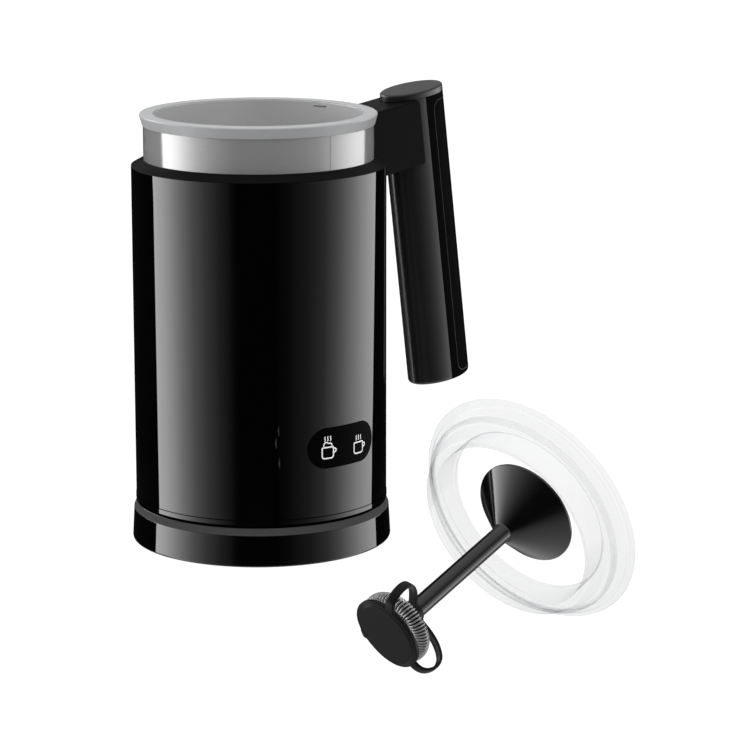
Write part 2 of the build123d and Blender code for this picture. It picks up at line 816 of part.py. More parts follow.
def inlay_block(growth):
    """Adds the rounded block that bounds the inlay, from the handle's middle outwards."""
    with BuildSketch(inlay_plane) as outline:
        with Locations((0, handle_length / 2)):
            RectangleRounded(
                2 * (inlay_half_width + growth), inlay_length + 2 * growth, inlay_corner + growth
            )
    extrude(outline.sketch, amount=2 * handle_half_depth)


def oval(depth, width, low, length, mode):
    """Adds or cuts an oval column along the handle."""
    with BuildSketch(handle_plane.offset(low)) as section:
        Ellipse(depth, width)
    extrude(section.sketch, amount=length, mode=mode)


with BuildPart() as inlay_pocket:
    inlay_block(inlay_gap)
    pocket_depth = inlay_thickness + inlay_gap
    oval(
        handle_half_depth - pocket_depth, handle_half_width - pocket_depth, 0, handle_length, Mode.SUBTRACT
    )

wall_inner = -bridge_offset + bridge_gap
with BuildPart() as handle_shell:
    oval(handle_half_depth, handle_half_width, 0, handle_length, Mode.ADD)
    fillet(handle_shell.edges().group_by(Axis.Z)[0], handle_foot_round)
    oval(core_depth, core_width, handle_foot_wall, handle_length, Mode.SUBTRACT)
    with BuildSketch(handle_plane.offset(bridge_low - bridge_wall)):
        Ellipse(core_depth + fit_gap, core_width + fit_gap)
        with Locations((wall_inner - handle_half_depth, 0)):
            Rectangle(2 * handle_half_depth, 3 * handle_half_width, mode=Mode.SUBTRACT)
        with Locations((wall_inner + bridge_wall + handle_half_depth, 0)):
            Rectangle(2 * handle_half_depth, 3 * handle_half_width, mode=Mode.SUBTRACT)
    extrude(amount=bridge_height + bridge_wall - cap_spigot)
    with BuildSketch(handle_plane.offset(bridge_low - bridge_wall)):
        Ellipse(core_depth + fit_gap, core_width + fit_gap)
        with Locations((wall_inner + bridge_wall + handle_half_depth, 0)):
            Rectangle(2 * handle_half_depth, 3 * handle_half_width, mode=Mode.SUBTRACT)
    extrude(amount=bridge_wall - bridge_gap)
    with BuildSketch(handle_plane.offset(bridge_low - bridge_gap)):
        with Locations((wall_inner - handle_half_depth, 0)):
            Rectangle(2 * handle_half_depth, 3 * handle_half_width)
    extrude(amount=handle_length, mode=Mode.SUBTRACT)
    add(inlay_pocket.part, mode=Mode.SUBTRACT)
    handle_bores(screw_shank + fit_gap, wall_inner - bridge_gap, wall_inner + bridge_wall)
    handle_bores(screw_head + fit_gap, wall_inner + bridge_wall, 2 * handle_half_depth)
save(handle_shell, "handle_shell")

with BuildPart() as handle_inlay:
    inlay_block(0)
    oval(handle_half_depth, handle_half_width, 0, handle_length, Mode.INTERSECT)
    inlay_back = (handle_half_depth - inlay_thickness, handle_half_width - inlay_thickness)
    oval(*inlay_back, 0, handle_length, Mode.SUBTRACT)
save(handle_inlay, "handle_inlay")

with BuildPart() as handle_cap:
    oval(handle_half_depth, handle_half_width, handle_length, cap_thickness, Mode.ADD)
    fillet(handle_cap.faces().sort_by(Axis.Z)[-1].edges(), cap_round)
    with BuildSketch(handle_plane.offset(handle_length - cap_spigot + seam)):
        Ellipse(core_depth - fit_gap, core_width - fit_gap)
        with Locations((wall_inner - handle_half_depth, 0)):
            Rectangle(2 * handle_half_depth, 3 * handle_half_width, mode=Mode.SUBTRACT)
    extrude(amount=cap_spigot - seam)
save(handle_cap, "handle_cap")

with BuildPart() as handle_screws:
    head_seat = wall_inner + bridge_wall
    handle_bores(screw_head, head_seat, head_seat + screw_head_height, Mode.ADD)
    handle_bores(screw_shank, -bridge_offset - handle_screw_depth, head_seat, Mode.ADD)
save(handle_screws, "handle_screws")

# ---- where the lid lies: its rim and the whisk's straps both touch the table ---------------------
lid_radius = rim_top_radius - lid_inset
rim_contact = lid_edge - lid_edge_slope  # height of the rim's lowest edge
lid_tilt = atan2(lid_radius - strap_reach, whisk_depth - strap_level - rim_contact)
heading = radians(lid_heading)
lid_axis = (cos(heading) * cos(lid_tilt), sin(heading) * cos(lid_tilt), -sin(lid_tilt))
lid_across = (sin(heading), -cos(heading), 0)
lid_middle = (lid_place_x, lid_place_y, lid_radius * cos(lid_tilt) + rim_contact * sin(lid_tilt))
lid_place = Plane(origin=lid_middle, x_dir=lid_across, z_dir=lid_axis).location

# ---- lid -----------------------------------------------------------------------------------------
groove_low_end = seal_level - seal_height / 2
groove_high_end = seal_level + seal_height / 2
lid_lip_radius = lid_radius - lid_lip_width
skirt_radius = rim_bore - skirt_clearance
skirt_step_radius = skirt_radius - skirt_step_depth
skirt_end_radius = skirt_step_radius - skirt_narrowing
skirt_inner = skirt_end_radius - skirt_wall
with BuildPart() as lid_cap:
    turn(
        [
            (0, 0),
            (lid_radius - lid_bead_width - lid_bead, 0),
            (lid_radius - lid_bead_width, -lid_bead),
            (lid_radius - lid_chamfer, -lid_bead),
            (lid_radius, lid_chamfer - lid_bead),
            (lid_radius, rim_contact),
            (lid_radius - lid_edge_slope, lid_edge + lid_chamfer),
            (lid_lip_radius, lid_edge + lid_edge_slope),
            (lid_lip_radius, lid_shoulder_height - lid_shoulder_drop),
            (skirt_radius, lid_shoulder_height),
            (skirt_radius, groove_low_end),
            (skirt_radius - seal_groove, groove_low_end),
            (skirt_radius - seal_groove, groove_high_end),
            (skirt_radius - skirt_taper, groove_high_end),
            (skirt_radius - skirt_taper, skirt_step),
            (skirt_step_radius, skirt_step + skirt_step_slope),
            (skirt_end_radius, skirt_end),
            (skirt_inner, skirt_end),
            (skirt_inner, lid_plate),
            (0, lid_plate),
        ]
    )
    tube(ring_radius - ring_width, ring_radius, lid_plate, lid_plate + ring_height)
    tube(boss_radius - boss_wall, boss_radius, lid_plate, lid_plate + boss_height)
    inner_corner = lid_cap.edges().filter_by(GeomType.CIRCLE).filter_by(
        lambda e: abs(e.radius - skirt_inner) < 0.01 and abs(e.center().Z - lid_plate) < 0.01
    )
    fillet(inner_corner, lid_inner_round)
save(lid_cap, "lid_cap", lid_place)

with BuildPart() as lid_seal:
    seal_inner = skirt_radius - seal_groove
    turn(
        [
            (seal_inner, groove_low_end),
            (skirt_radius + seal_proud, groove_low_end),
            (skirt_radius + seal_proud / 3, seal_level),
            (skirt_radius + seal_proud, groove_high_end),
            (seal_inner, groove_high_end),
        ]
    )
save(lid_seal, "lid_seal", lid_place)

# ---- whisk holder: cone and rod ------------------------------------------------------------------
cone_low = lid_plate + seat_gap
socket_depth = boss_height + seat_gap
with BuildPart() as holder_cone:
    with BuildSketch(Plane.XZ):
        with BuildLine():
            Line((0, cone_low), (cone_radius, cone_low))
            Line((cone_radius, cone_low), (cone_radius, cone_low + cone_edge))
            Spline(
                (cone_radius, cone_low + cone_edge),
                (cone_end_radius + cone_waist[0], cone_low + cone_waist[1]),
                (cone_end_radius, cone_end),
                tangents=[cone_foot_slope, cone_end_slope],
            )
            Line((cone_end_radius, cone_end), (0, cone_end))
            Line((0, cone_end), (0, cone_low))
        make_face()
    revolve(axis=Axis.Z)
    tube(0, boss_radius + push_clearance, cone_low, cone_low + socket_depth, Mode.SUBTRACT)
    pillars([(0, 0)], rod_radius, cone_end - rod_spigot, cone_end, Mode.SUBTRACT)
save(holder_cone, "holder_cone", lid_place)

whisk_top = whisk_depth - whisk_height
with BuildPart() as whisk_rod:
    tube(0, rod_radius, cone_end - rod_spigot, whisk_top - seat_gap)
    tube(0, rod_spigot_radius, whisk_top - seat_gap, whisk_top + rod_tip)
save(whisk_rod, "whisk_rod", lid_place)

# ---- whisk ---------------------------------------------------------------------------------------
# built with its plate's underside at whisk_depth and its hub towards the lid: heights count back from there
plate_top_level = whisk_depth - whisk_plate
lobe_angles = [strap_turn + 60 + 120 * i for i in range(3)]
strap_angles = [strap_turn + 120 * i for i in range(3)]
lobe_centre = whisk_lobe_radius - whisk_lobe_round
strap_middle = strap_reach - strap_thickness / 2
strap_high = whisk_height - strap_drop
strap_rise = strap_high - strap_level
strap_points = [
    (whisk_waist_radius - strap_thickness, strap_thickness / 2),
    (strap_middle - strap_level / 3, strap_thickness * 2 / 3),
    (strap_middle, strap_level),
    (strap_middle - 0.12 * strap_rise, strap_level + 0.5 * strap_rise),
    (strap_middle - 0.45 * strap_rise, strap_level + 0.84 * strap_rise),
    (strap_middle - strap_rise, strap_high),
    (hub_radius - strap_thickness, strap_high),
]


def strap_side(shift):
    """One side of a strap's outline, moved inwards by a shift, as points of radius and height."""
    moved = []
    for index, (radius, height) in enumerate(strap_points):
        before = strap_points[max(index - 1, 0)]
        after = strap_points[min(index + 1, len(strap_points) - 1)]
        run = hypot(after[0] - before[0], after[1] - before[1])
        out, up = after[1] - before[1], after[0] - before[0]
        moved.append((radius - shift * out / run, height + shift * up / run))
    return [(radius, whisk_depth - height) for radius, height in moved]


with BuildPart() as whisk_frame:
    with BuildSketch(Plane.XY.offset(plate_top_level)):
        Circle(whisk_waist_radius)
        lobes_at = [(lobe_centre * cos(radians(t)), lobe_centre * sin(radians(t))) for t in lobe_angles]
        with Locations(*lobes_at):
            Circle(whisk_lobe_round)
    extrude(amount=whisk_plate)
    for angle in strap_angles:
        strap_plane = Plane.XZ.rotated((0, 0, angle))
        with BuildSketch(strap_plane):
            with BuildLine():
                outer_side = strap_side(-strap_thickness / 2)
                inner_side = strap_side(strap_thickness / 2)
                Spline(*outer_side)
                Line(outer_side[-1], inner_side[-1])
                Spline(*reversed(inner_side))
                Line(inner_side[0], outer_side[0])
            make_face()
        extrude(amount=strap_width / 2, both=True)
    tube(0, hub_radius, whisk_top, whisk_top + hub_length)
    hub_bore = rod_spigot_radius + turning_clearance
    pillars([(0, 0)], hub_bore, whisk_top, whisk_top + hub_length, Mode.SUBTRACT)
    magnets_under = spread(whisk_magnet_circle, strap_turn + 60)
    magnet_low = plate_top_level + whisk_magnet_cover
    pillars(magnets_under, whisk_magnet_radius, magnet_low, magnet_low + whisk_magnet_height, Mode.SUBTRACT)
save(whisk_frame, "whisk_frame", lid_place)

with BuildPart() as whisk_magnets:
    pillars(magnets_under, whisk_magnet_radius, magnet_low, magnet_low + whisk_magnet_height)
save(whisk_magnets, "whisk_magnets", lid_place)

with BuildPart() as whisk_coil:
    with BuildSketch(Plane.XZ):
        with Locations((coil_radius, whisk_depth - whisk_plate - coil_seat - coil_tube_radius)):
            Circle(coil_tube_radius)
    revolve(axis=Axis.Z)
save(whisk_coil, "whisk_coil", lid_place)
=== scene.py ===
import json
from math import copysign, cos, degrees, pi, radians, sin, tan

import bmesh
import bpy
from mathutils import Matrix, Vector


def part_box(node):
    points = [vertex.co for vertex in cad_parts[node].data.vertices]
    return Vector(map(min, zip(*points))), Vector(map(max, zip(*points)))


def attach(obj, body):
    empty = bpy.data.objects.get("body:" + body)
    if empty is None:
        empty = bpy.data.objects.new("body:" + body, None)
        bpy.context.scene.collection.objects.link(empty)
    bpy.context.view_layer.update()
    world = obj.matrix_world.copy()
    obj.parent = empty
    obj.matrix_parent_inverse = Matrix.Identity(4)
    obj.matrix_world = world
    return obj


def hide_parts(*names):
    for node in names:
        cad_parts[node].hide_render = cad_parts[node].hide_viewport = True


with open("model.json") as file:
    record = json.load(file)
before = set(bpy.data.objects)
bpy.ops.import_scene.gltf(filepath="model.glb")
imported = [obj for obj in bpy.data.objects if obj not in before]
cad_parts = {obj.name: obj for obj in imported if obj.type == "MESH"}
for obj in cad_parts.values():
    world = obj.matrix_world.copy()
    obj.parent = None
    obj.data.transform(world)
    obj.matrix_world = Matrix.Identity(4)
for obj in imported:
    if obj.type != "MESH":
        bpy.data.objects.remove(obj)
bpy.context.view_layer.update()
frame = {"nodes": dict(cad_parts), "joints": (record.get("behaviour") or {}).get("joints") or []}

mm = 0.001
print("frame loaded:", len(frame["nodes"]), "pieces")

# the view: a long lens, a little above the rim, between the touch key and the handle
viewOf = {
    "lookAt": (34.73 * mm, -31.82 * mm, 67.5 * mm),
    "azimuth": -42.5,
    "pitch": 12.44,
    "distance": 1.2357,
    "lens": 144,
    "sensor": 36,
}


def aheadOf(azimuth, pitch):
    turn, dip = radians(azimuth), radians(pitch)
    return Vector((-sin(turn) * cos(dip), cos(turn) * cos(dip), -sin(dip)))


def makeCamera():
    camera = bpy.data.cameras.new("camera")
    camera.lens, camera.sensor_width = viewOf["lens"], viewOf["sensor"]
    camera.clip_start, camera.clip_end = 0.05, 60
    holder = bpy.data.objects.new("camera", camera)
    bpy.context.scene.collection.objects.link(holder)
    ahead = aheadOf(viewOf["azimuth"], viewOf["pitch"])
    holder.location = Vector(viewOf["lookAt"]) - ahead * viewOf["distance"]
    holder.rotation_mode = "QUATERNION"
    holder.rotation_quaternion = ahead.to_track_quat("-Z", "Y")
    bpy.context.scene.camera = holder


makeCamera()
print("camera placed")


# shared mesh helpers
def addMesh(name, points, faces, material, normals=None):
    mesh = bpy.data.meshes.new(name)
    mesh.from_pydata([tuple(p) for p in points], [], faces)
    mesh.materials.append(material)
    mesh.shade_smooth()
    mesh.validate()
    if normals:
        mesh.normals_split_custom_set(normals)
    piece = bpy.data.objects.new(name, mesh)
    bpy.context.scene.collection.objects.link(piece)
    return piece


def roundedOutline(corners, closed=True, steps=5):
    # corners are (radius, height, rounding); gives points, with the surface's direction on rounded edges
    count = len(corners)
    spots = []
    for index, (radius, height, rounding) in enumerate(corners):
        here = Vector((radius, height))
        if rounding == 0 or (not closed and index in (0, count - 1)):
            spots.append((here, None))
            continue
        before, after = Vector(corners[index - 1][:2]), Vector(corners[(index + 1) % count][:2])
        back, on = (before - here).normalized(), (after - here).normalized()
        half = back.angle(on) / 2
        sweep = pi - 2 * half
        if sweep < 0.02:
            spots.append((here, None))
            continue
        reach = min(rounding / tan(half), (before - here).length * 0.49, (after - here).length * 0.49)
        centre = here + (back + on).normalized() * (reach * tan(half) / sin(half))
        start, end = here + back * reach - centre, here + on * reach - centre
        side = 1 if on.x * back.y - on.y * back.x > 0 else -1
        for step in range(steps + 1):
            share = step / steps
            spoke = (start * sin((1 - share) * sweep) + end * sin(share * sweep)) / sin(sweep)
            spots.append((centre + spoke, side * spoke.normalized()))
    return spots


def lathe(name, corners, material, place=None, closed=True, turns=160, steps=5):
    # corners, in millimetres, run with the solid on their left; the axis is +Z before placing
    outline = roundedOutline(corners, closed, steps)
    place = place or Matrix.Identity(4)
    turnOnly = place.to_3x3()
    points, faces, normals, rings = [], [], [], []
    for spot, _ in outline:
        if abs(spot.x) < 1e-9:
            rings.append([len(points)] * turns)
            points.append(place @ Vector((0, 0, spot.y * mm)))
            continue
        rings.append(list(range(len(points), len(points) + turns)))
        for turn in range(turns):
            angle = 2 * pi * turn / turns
            points.append(place @ (Vector((spot.x * cos(angle), spot.x * sin(angle), spot.y)) * mm))
    spans = len(outline) if closed else len(outline) - 1
    for index in range(spans):
        (here, hereNormal), (there, thereNormal) = outline[index], outline[(index + 1) % len(outline)]
        along = there - here
        if along.length < 1e-9:
            continue
        straight = Vector((along.y, -along.x)).normalized()
        slopes = [hereNormal or straight, thereNormal or straight]
        low, high = rings[index], rings[(index + 1) % len(outline)]
        for turn in range(turns):
            beyond = (turn + 1) % turns
            kept = []
            for vertex in ((low[turn], turn, 0), (low[beyond], beyond, 0), (high[beyond], beyond, 1),
                           (high[turn], turn, 1)):
                if all(vertex[0] != other[0] for other in kept):
                    kept.append(vertex)
            if len(kept) < 3:
                continue
            faces.append([vertex[0] for vertex in kept])
            for _, at, end in kept:
                angle = 2 * pi * at / turns
                slope = slopes[end]
                normals.append(turnOnly @ Vector((slope.x * cos(angle), slope.x * sin(angle), slope.y)))
    return addMesh(name, points, faces, material, normals)


def loft(name, rings, material, sharp=35):
    # joins closed rings of points, in metres, and closes both ends
    count = len(rings[0])
    points = [spot for ring in rings for spot in ring]
    faces = []
    for level in range(len(rings) - 1):
        low, high = level * count, (level + 1) * count
        for index in range(count):
            on = (index + 1) % count
            faces.append([low + index, low + on, high + on, high + index])
    faces.append(list(reversed(range(count))))
    faces.append(list(range((len(rings) - 1) * count, len(rings) * count)))
    piece = addMesh(name, points, faces, material)
    turnOutwards(piece)
    piece.data.set_sharp_from_angle(angle=radians(sharp))
    even = piece.modifiers.new("evenShading", "WEIGHTED_NORMAL")
    even.keep_sharp = True
    return piece


def turnOutwards(piece):
    work = bmesh.new()
    work.from_mesh(piece.data)
    bmesh.ops.recalc_face_normals(work, faces=work.faces)
    work.to_mesh(piece.data)
    work.free()


def tubeAlong(name, path, radius, material, sides=8, closed=False):
    # a round wire that follows a list of points
    count = len(path)
    points, faces = [], []
    side = None
    for index, spot in enumerate(path):
        after = path[(index + 1) % count] if closed or index < count - 1 else spot
        before = path[index - 1] if closed or index else spot
        ahead = (after - before).normalized()
        if side is None:
            side = ahead.orthogonal().normalized()
        side = (side - ahead * side.dot(ahead)).normalized()
        up = ahead.cross(side)
        for corner in range(sides):
            angle = 2 * pi * corner / sides
            points.append(spot + (side * cos(angle) + up * sin(angle)) * radius)
    spans = count if closed else count - 1
    for index in range(spans):
        low, high = index * sides, ((index + 1) % count) * sides
        for corner in range(sides):
            on = (corner + 1) % sides
            faces.append([low + corner, low + on, high + on, high + corner])
    if not closed:
        faces.append(list(reversed(range(sides))))
        faces.append(list(range((count - 1) * sides, count * sides)))
    return addMesh(name, points, faces, material)


# shared material helpers
def startMaterial(name, sockets):
    material = bpy.data.materials.new(name)
    material.use_nodes = True
    shader = material.node_tree.nodes["Principled BSDF"]
    for socket, value in sockets.items():
        shader.inputs[socket].default_value = value
    return material, material.node_tree, shader


def addNode(tree, kind, settings=None, inputs=None):
    node = tree.nodes.new(kind)
    for key, value in (settings or {}).items():
        setattr(node, key, value)
    for key, value in (inputs or {}).items():
        node.inputs[key].default_value = value
    return node


def addNoise(tree, scale, detail=3.0, stretch=(1, 1, 1)):
    place = addNode(tree, "ShaderNodeTexCoord")
    mapping = addNode(tree, "ShaderNodeMapping", None, {"Scale": stretch})
    noise = addNode(tree, "ShaderNodeTexNoise", None, {"Scale": scale, "Detail": detail})
    tree.links.new(place.outputs["Object"], mapping.inputs["Vector"])
    tree.links.new(mapping.outputs["Vector"], noise.inputs["Vector"])
    return noise


def spreadRoughness(tree, shader, noise, low, high):
    spread = addNode(tree, "ShaderNodeMapRange", None,
                     {"From Min": 0.3, "From Max": 0.7, "To Min": low, "To Max": high})
    tree.links.new(noise.outputs["Fac"], spread.inputs["Value"])
    tree.links.new(spread.outputs["Result"], shader.inputs["Roughness"])


def spreadColour(tree, shader, noise, dark, light):
    mix = addNode(tree, "ShaderNodeMix", {"data_type": "RGBA"})
    mix.inputs["A"].default_value, mix.inputs["B"].default_value = (*dark, 1), (*light, 1)
    tree.links.new(noise.outputs["Fac"], mix.inputs["Factor"])
    tree.links.new(mix.outputs["Result"], shader.inputs["Base Color"])


def addGrain(tree, shader, noise, depth):
    bump = addNode(tree, "ShaderNodeBump", None, {"Strength": 1.0, "Distance": depth})
    tree.links.new(noise.outputs["Fac"], bump.inputs["Height"])
    tree.links.new(bump.outputs["Normal"], shader.inputs["Normal"])


def mouldedPlastic(name, look):
    # colour, roughness as (low, high), grain as (size, depth) in metres
    low, high = look["roughness"]
    sockets = {"IOR": look.get("ior", 1.5), "Metallic": 0.0, "Specular IOR Level": look.get("shine", 0.5)}
    sockets.update(look.get("sockets", {}))
    material, tree, shader = startMaterial(name, sockets)
    patches = addNoise(tree, 1 / look.get("patch", 0.03), 4)
    spreadRoughness(tree, shader, patches, low, high)
    colour = look["colour"]
    vary = look.get("vary", 0.12)
    spreadColour(tree, shader, patches, [c * (1 - vary) for c in colour], [c * (1 + vary) for c in colour])
    size, depth = look["grain"]
    addGrain(tree, shader, addNoise(tree, 1 / size, 2), depth)
    return material


def brushedMetal(name, look):
    # brushed round its own upright axis
    material, tree, shader = startMaterial(
        name, {"Metallic": look.get("metal", 1.0), "Anisotropic": look["anisotropy"]}
    )
    lines = addNoise(tree, 1.0, 2, look["stretch"])
    patches = addNoise(tree, 1 / look["patch"], 3)
    both = addNode(tree, "ShaderNodeMath", {"operation": "MULTIPLY"})
    tree.links.new(lines.outputs["Fac"], both.inputs[0])
    tree.links.new(patches.outputs["Fac"], both.inputs[1])
    low, high = look["roughness"]
    spread = addNode(tree, "ShaderNodeMapRange", None,
                     {"From Min": 0.12, "From Max": 0.4, "To Min": low, "To Max": high})
    tree.links.new(both.outputs["Value"], spread.inputs["Value"])
    tree.links.new(spread.outputs["Result"], shader.inputs["Roughness"])
    spreadColour(tree, shader, lines, look["dark"], look["light"])
    addGrain(tree, shader, lines, look["depth"])
    tangent = addNode(tree, "ShaderNodeTangent", {"direction_type": "RADIAL", "axis": "Z"})
    tree.links.new(tangent.outputs["Tangent"], shader.inputs["Tangent"])
    return material


def veilPlastic(name, look):
    # thin clear plastic with a milky cast, seen as a veil over what lies behind
    material, tree, shader = startMaterial(
        name, {"Metallic": 0.0, "Specular IOR Level": look["shine"], "IOR": 1.45}
    )
    weight = addNode(tree, "ShaderNodeLayerWeight", None, {"Blend": 0.25})
    veil = addNode(tree, "ShaderNodeMapRange", None, {"To Min": look["veil"], "To Max": look["rim"]})
    tree.links.new(weight.outputs["Facing"], veil.inputs["Value"])
    tree.links.new(veil.outputs["Result"], shader.inputs["Alpha"])
    patches = addNoise(tree, 1 / 0.02, 3)
    spreadRoughness(tree, shader, patches, *look["roughness"])
    colour = look["colour"]
    spreadColour(tree, shader, patches, [c * 0.97 for c in colour], [c * 1.03 for c in colour])
    addGrain(tree, shader, addNoise(tree, 1 / 0.008, 1), look["depth"])
    return material


# finishes
finishes = {
    "pianoBlack": mouldedPlastic("pianoBlack", {
        "colour": (0.0005, 0.0005, 0.0006), "roughness": (0.012, 0.03), "grain": (0.012, 2e-6), "ior": 1.5}),
    "baseBlack": mouldedPlastic("baseBlack", {
        "colour": (0.0006, 0.0006, 0.0007), "roughness": (0.02, 0.05), "grain": (0.01, 2e-6)}),
    "trimSatin": mouldedPlastic("trimSatin", {
        "colour": (0.045, 0.045, 0.0455), "roughness": (0.5, 0.58), "grain": (0.0006, 4e-6), "shine": 0.03,
        "ior": 1.2}),
    "collarBlack": mouldedPlastic("collarBlack", {
        "colour": (0.0035, 0.0035, 0.0036), "roughness": (0.34, 0.4), "grain": (0.0006, 5e-6), "shine": 0.05,
        "ior": 1.3}),
    "handleBlack": mouldedPlastic("handleBlack", {
        "colour": (0.009, 0.009, 0.0092), "roughness": (0.2, 0.26), "grain": (0.0005, 2e-6)}),
    # the cap's top: the handle's black, rougher and a touch lighter; the lighter tone is painted light from
    # above
    "capLitBlack": mouldedPlastic("capLitBlack", {
        "colour": (0.01, 0.01, 0.0102), "roughness": (0.3, 0.36), "grain": (0.0005, 3e-6)}),
    "gripBlack": mouldedPlastic("gripBlack", {
        "colour": (0.0022, 0.0022, 0.0023), "roughness": (0.45, 0.55), "grain": (0.0004, 8e-6), "shine": 0.03,
        "ior": 1.15}),
    # the seam round the grip panel is real; its lighter grey is a painted highlight of the rounded edge
    "gripSeamHighlight": mouldedPlastic("gripSeamHighlight", {
        "colour": (0.022, 0.022, 0.022), "roughness": (0.3, 0.4), "grain": (0.0004, 2e-6), "shine": 0.3}),
    "keyBlack": mouldedPlastic("keyBlack", {
        "colour": (0.0012, 0.0012, 0.0015), "roughness": (0.3, 0.36), "grain": (0.004, 1e-6), "shine": 0.04,
        "ior": 1.2}),
    "holderBlack": mouldedPlastic("holderBlack", {
        "colour": (0.0025, 0.0025, 0.0027), "roughness": (0.08, 0.13), "grain": (0.004, 3e-6)}),
    "whiskBlack": mouldedPlastic("whiskBlack", {
        "colour": (0.004, 0.004, 0.004), "roughness": (0.34, 0.42), "grain": (0.0005, 5e-6), "shine": 0.14,
        "ior": 1.4}),
    "coreBlack": mouldedPlastic("coreBlack", {
        "colour": (0.004, 0.004, 0.004), "roughness": (0.6, 0.7), "grain": (0.0006, 1e-5), "shine": 0.2}),
    "rimGrey": mouldedPlastic("rimGrey", {
        "colour": (0.3, 0.303, 0.308), "roughness": (0.3, 0.38), "grain": (0.0007, 4e-6), "vary": 0.03,
        "shine": 0.3}),
    "footRubber": mouldedPlastic("footRubber", {
        "colour": (0.012, 0.012, 0.012), "roughness": (0.65, 0.8), "grain": (0.0006, 2e-5)}),
    "couplingBlack": mouldedPlastic("couplingBlack", {
        "colour": (0.01, 0.01, 0.0105), "roughness": (0.38, 0.5), "grain": (0.0006, 1e-5)}),
    "innerNylon": mouldedPlastic("innerNylon", {
        "colour": (0.62, 0.6, 0.53), "roughness": (0.4, 0.55), "grain": (0.001, 1e-5),
        "sockets": {"Subsurface Weight": 0.1, "Subsurface Radius": (0.002, 0.002, 0.0015)}}),
    "greySilicone": mouldedPlastic("greySilicone", {
        "colour": (0.32, 0.32, 0.32), "roughness": (0.5, 0.65), "grain": (0.001, 1e-5)}),
    "boardGreen": mouldedPlastic("boardGreen", {
        "colour": (0.012, 0.11, 0.035), "roughness": (0.25, 0.38), "grain": (0.0008, 1.5e-5), "vary": 0.25}),
    "relayBlue": mouldedPlastic("relayBlue", {
        "colour": (0.02, 0.07, 0.34), "roughness": (0.2, 0.3), "grain": (0.001, 4e-6)}),
    "partBlack": mouldedPlastic("partBlack", {
        "colour": (0.014, 0.014, 0.015), "roughness": (0.35, 0.5), "grain": (0.0005, 8e-6)}),
    "lampWhite": mouldedPlastic("lampWhite", {
        "colour": (0.85, 0.85, 0.83), "roughness": (0.2, 0.3), "grain": (0.001, 3e-6), "vary": 0.02}),
    "inkWhite": mouldedPlastic("inkWhite", {
        "colour": (0.8, 0.8, 0.8), "roughness": (0.35, 0.45), "grain": (0.0005, 1e-6), "vary": 0.02}),
    "neckSteel": brushedMetal("neckSteel", {
        "dark": (0.28, 0.28, 0.283), "light": (0.33, 0.33, 0.333), "roughness": (0.09, 0.12),
        "anisotropy": 0.3,
        "stretch": (40, 40, 9000), "depth": 2e-7, "patch": 0.05, "metal": 0.38}),
    "bowlSteel": brushedMetal("bowlSteel", {
        "dark": (0.52, 0.52, 0.524), "light": (0.62, 0.62, 0.624), "roughness": (0.28, 0.34),
        "anisotropy": 0.3,
        "stretch": (40, 40, 7000), "depth": 1e-7, "patch": 0.05, "metal": 0.5}),
    "seamSteel": brushedMetal("seamSteel", {
        "dark": (0.16, 0.16, 0.16), "light": (0.24, 0.24, 0.24), "roughness": (0.4, 0.5), "anisotropy": 0.0,
        "stretch": (600, 600, 600), "depth": 5e-7, "patch": 0.002}),
    "screwSteel": brushedMetal("screwSteel", {
        "dark": (0.45, 0.45, 0.46), "light": (0.62, 0.62, 0.62), "roughness": (0.2, 0.36), "anisotropy": 0.3,
        "stretch": (900, 900, 900), "depth": 2e-6, "patch": 0.002}),
    "shaftSteel": brushedMetal("shaftSteel", {
        "dark": (0.55, 0.55, 0.56), "light": (0.72, 0.72, 0.72), "roughness": (0.14, 0.24), "anisotropy": 0.5,
        "stretch": (200, 200, 6000), "depth": 1e-6, "patch": 0.003}),
    "magnetNickel": brushedMetal("magnetNickel", {
        "dark": (0.6, 0.59, 0.57), "light": (0.75, 0.74, 0.71), "roughness": (0.08, 0.2), "anisotropy": 0.0,
        "stretch": (700, 700, 700), "depth": 1e-6, "patch": 0.002}),
    "contactBrass": brushedMetal("contactBrass", {
        "dark": (0.6, 0.42, 0.16), "light": (0.78, 0.58, 0.26), "roughness": (0.16, 0.3), "anisotropy": 0.4,
        "stretch": (200, 200, 5000), "depth": 1e-6, "patch": 0.003}),
    "castAluminium": brushedMetal("castAluminium", {
        "dark": (0.48, 0.49, 0.5), "light": (0.66, 0.67, 0.68), "roughness": (0.35, 0.55), "anisotropy": 0.0,
        "stretch": (1500, 1500, 1500), "depth": 1.5e-5, "patch": 0.003}),
    "wireSteel": brushedMetal("wireSteel", {
        "dark": (0.22, 0.22, 0.22), "light": (0.34, 0.34, 0.336), "roughness": (0.22, 0.34),
        "anisotropy": 0.0,
        "stretch": (2500, 2500, 2500), "depth": 1e-6, "patch": 0.002}),
    "lidClear": veilPlastic("lidClear", {
        "veil": 0.004, "rim": 0.05, "colour": (0.5, 0.51, 0.52), "roughness": (0.05, 0.1), "shine": 0.1,
        "depth": 1e-6}),
    "lidMilky": veilPlastic("lidMilky", {
        "veil": 0.1, "rim": 0.42, "colour": (0.36, 0.37, 0.385), "roughness": (0.08, 0.14), "shine": 0.5,
        "depth": 2e-6}),
    "sealClear": veilPlastic("sealClear", {
        "veil": 0.05, "rim": 0.25, "colour": (0.4, 0.41, 0.42), "roughness": (0.3, 0.4), "shine": 0.3,
        "depth": 4e-6}),
}
print("finishes mixed:", len(finishes))

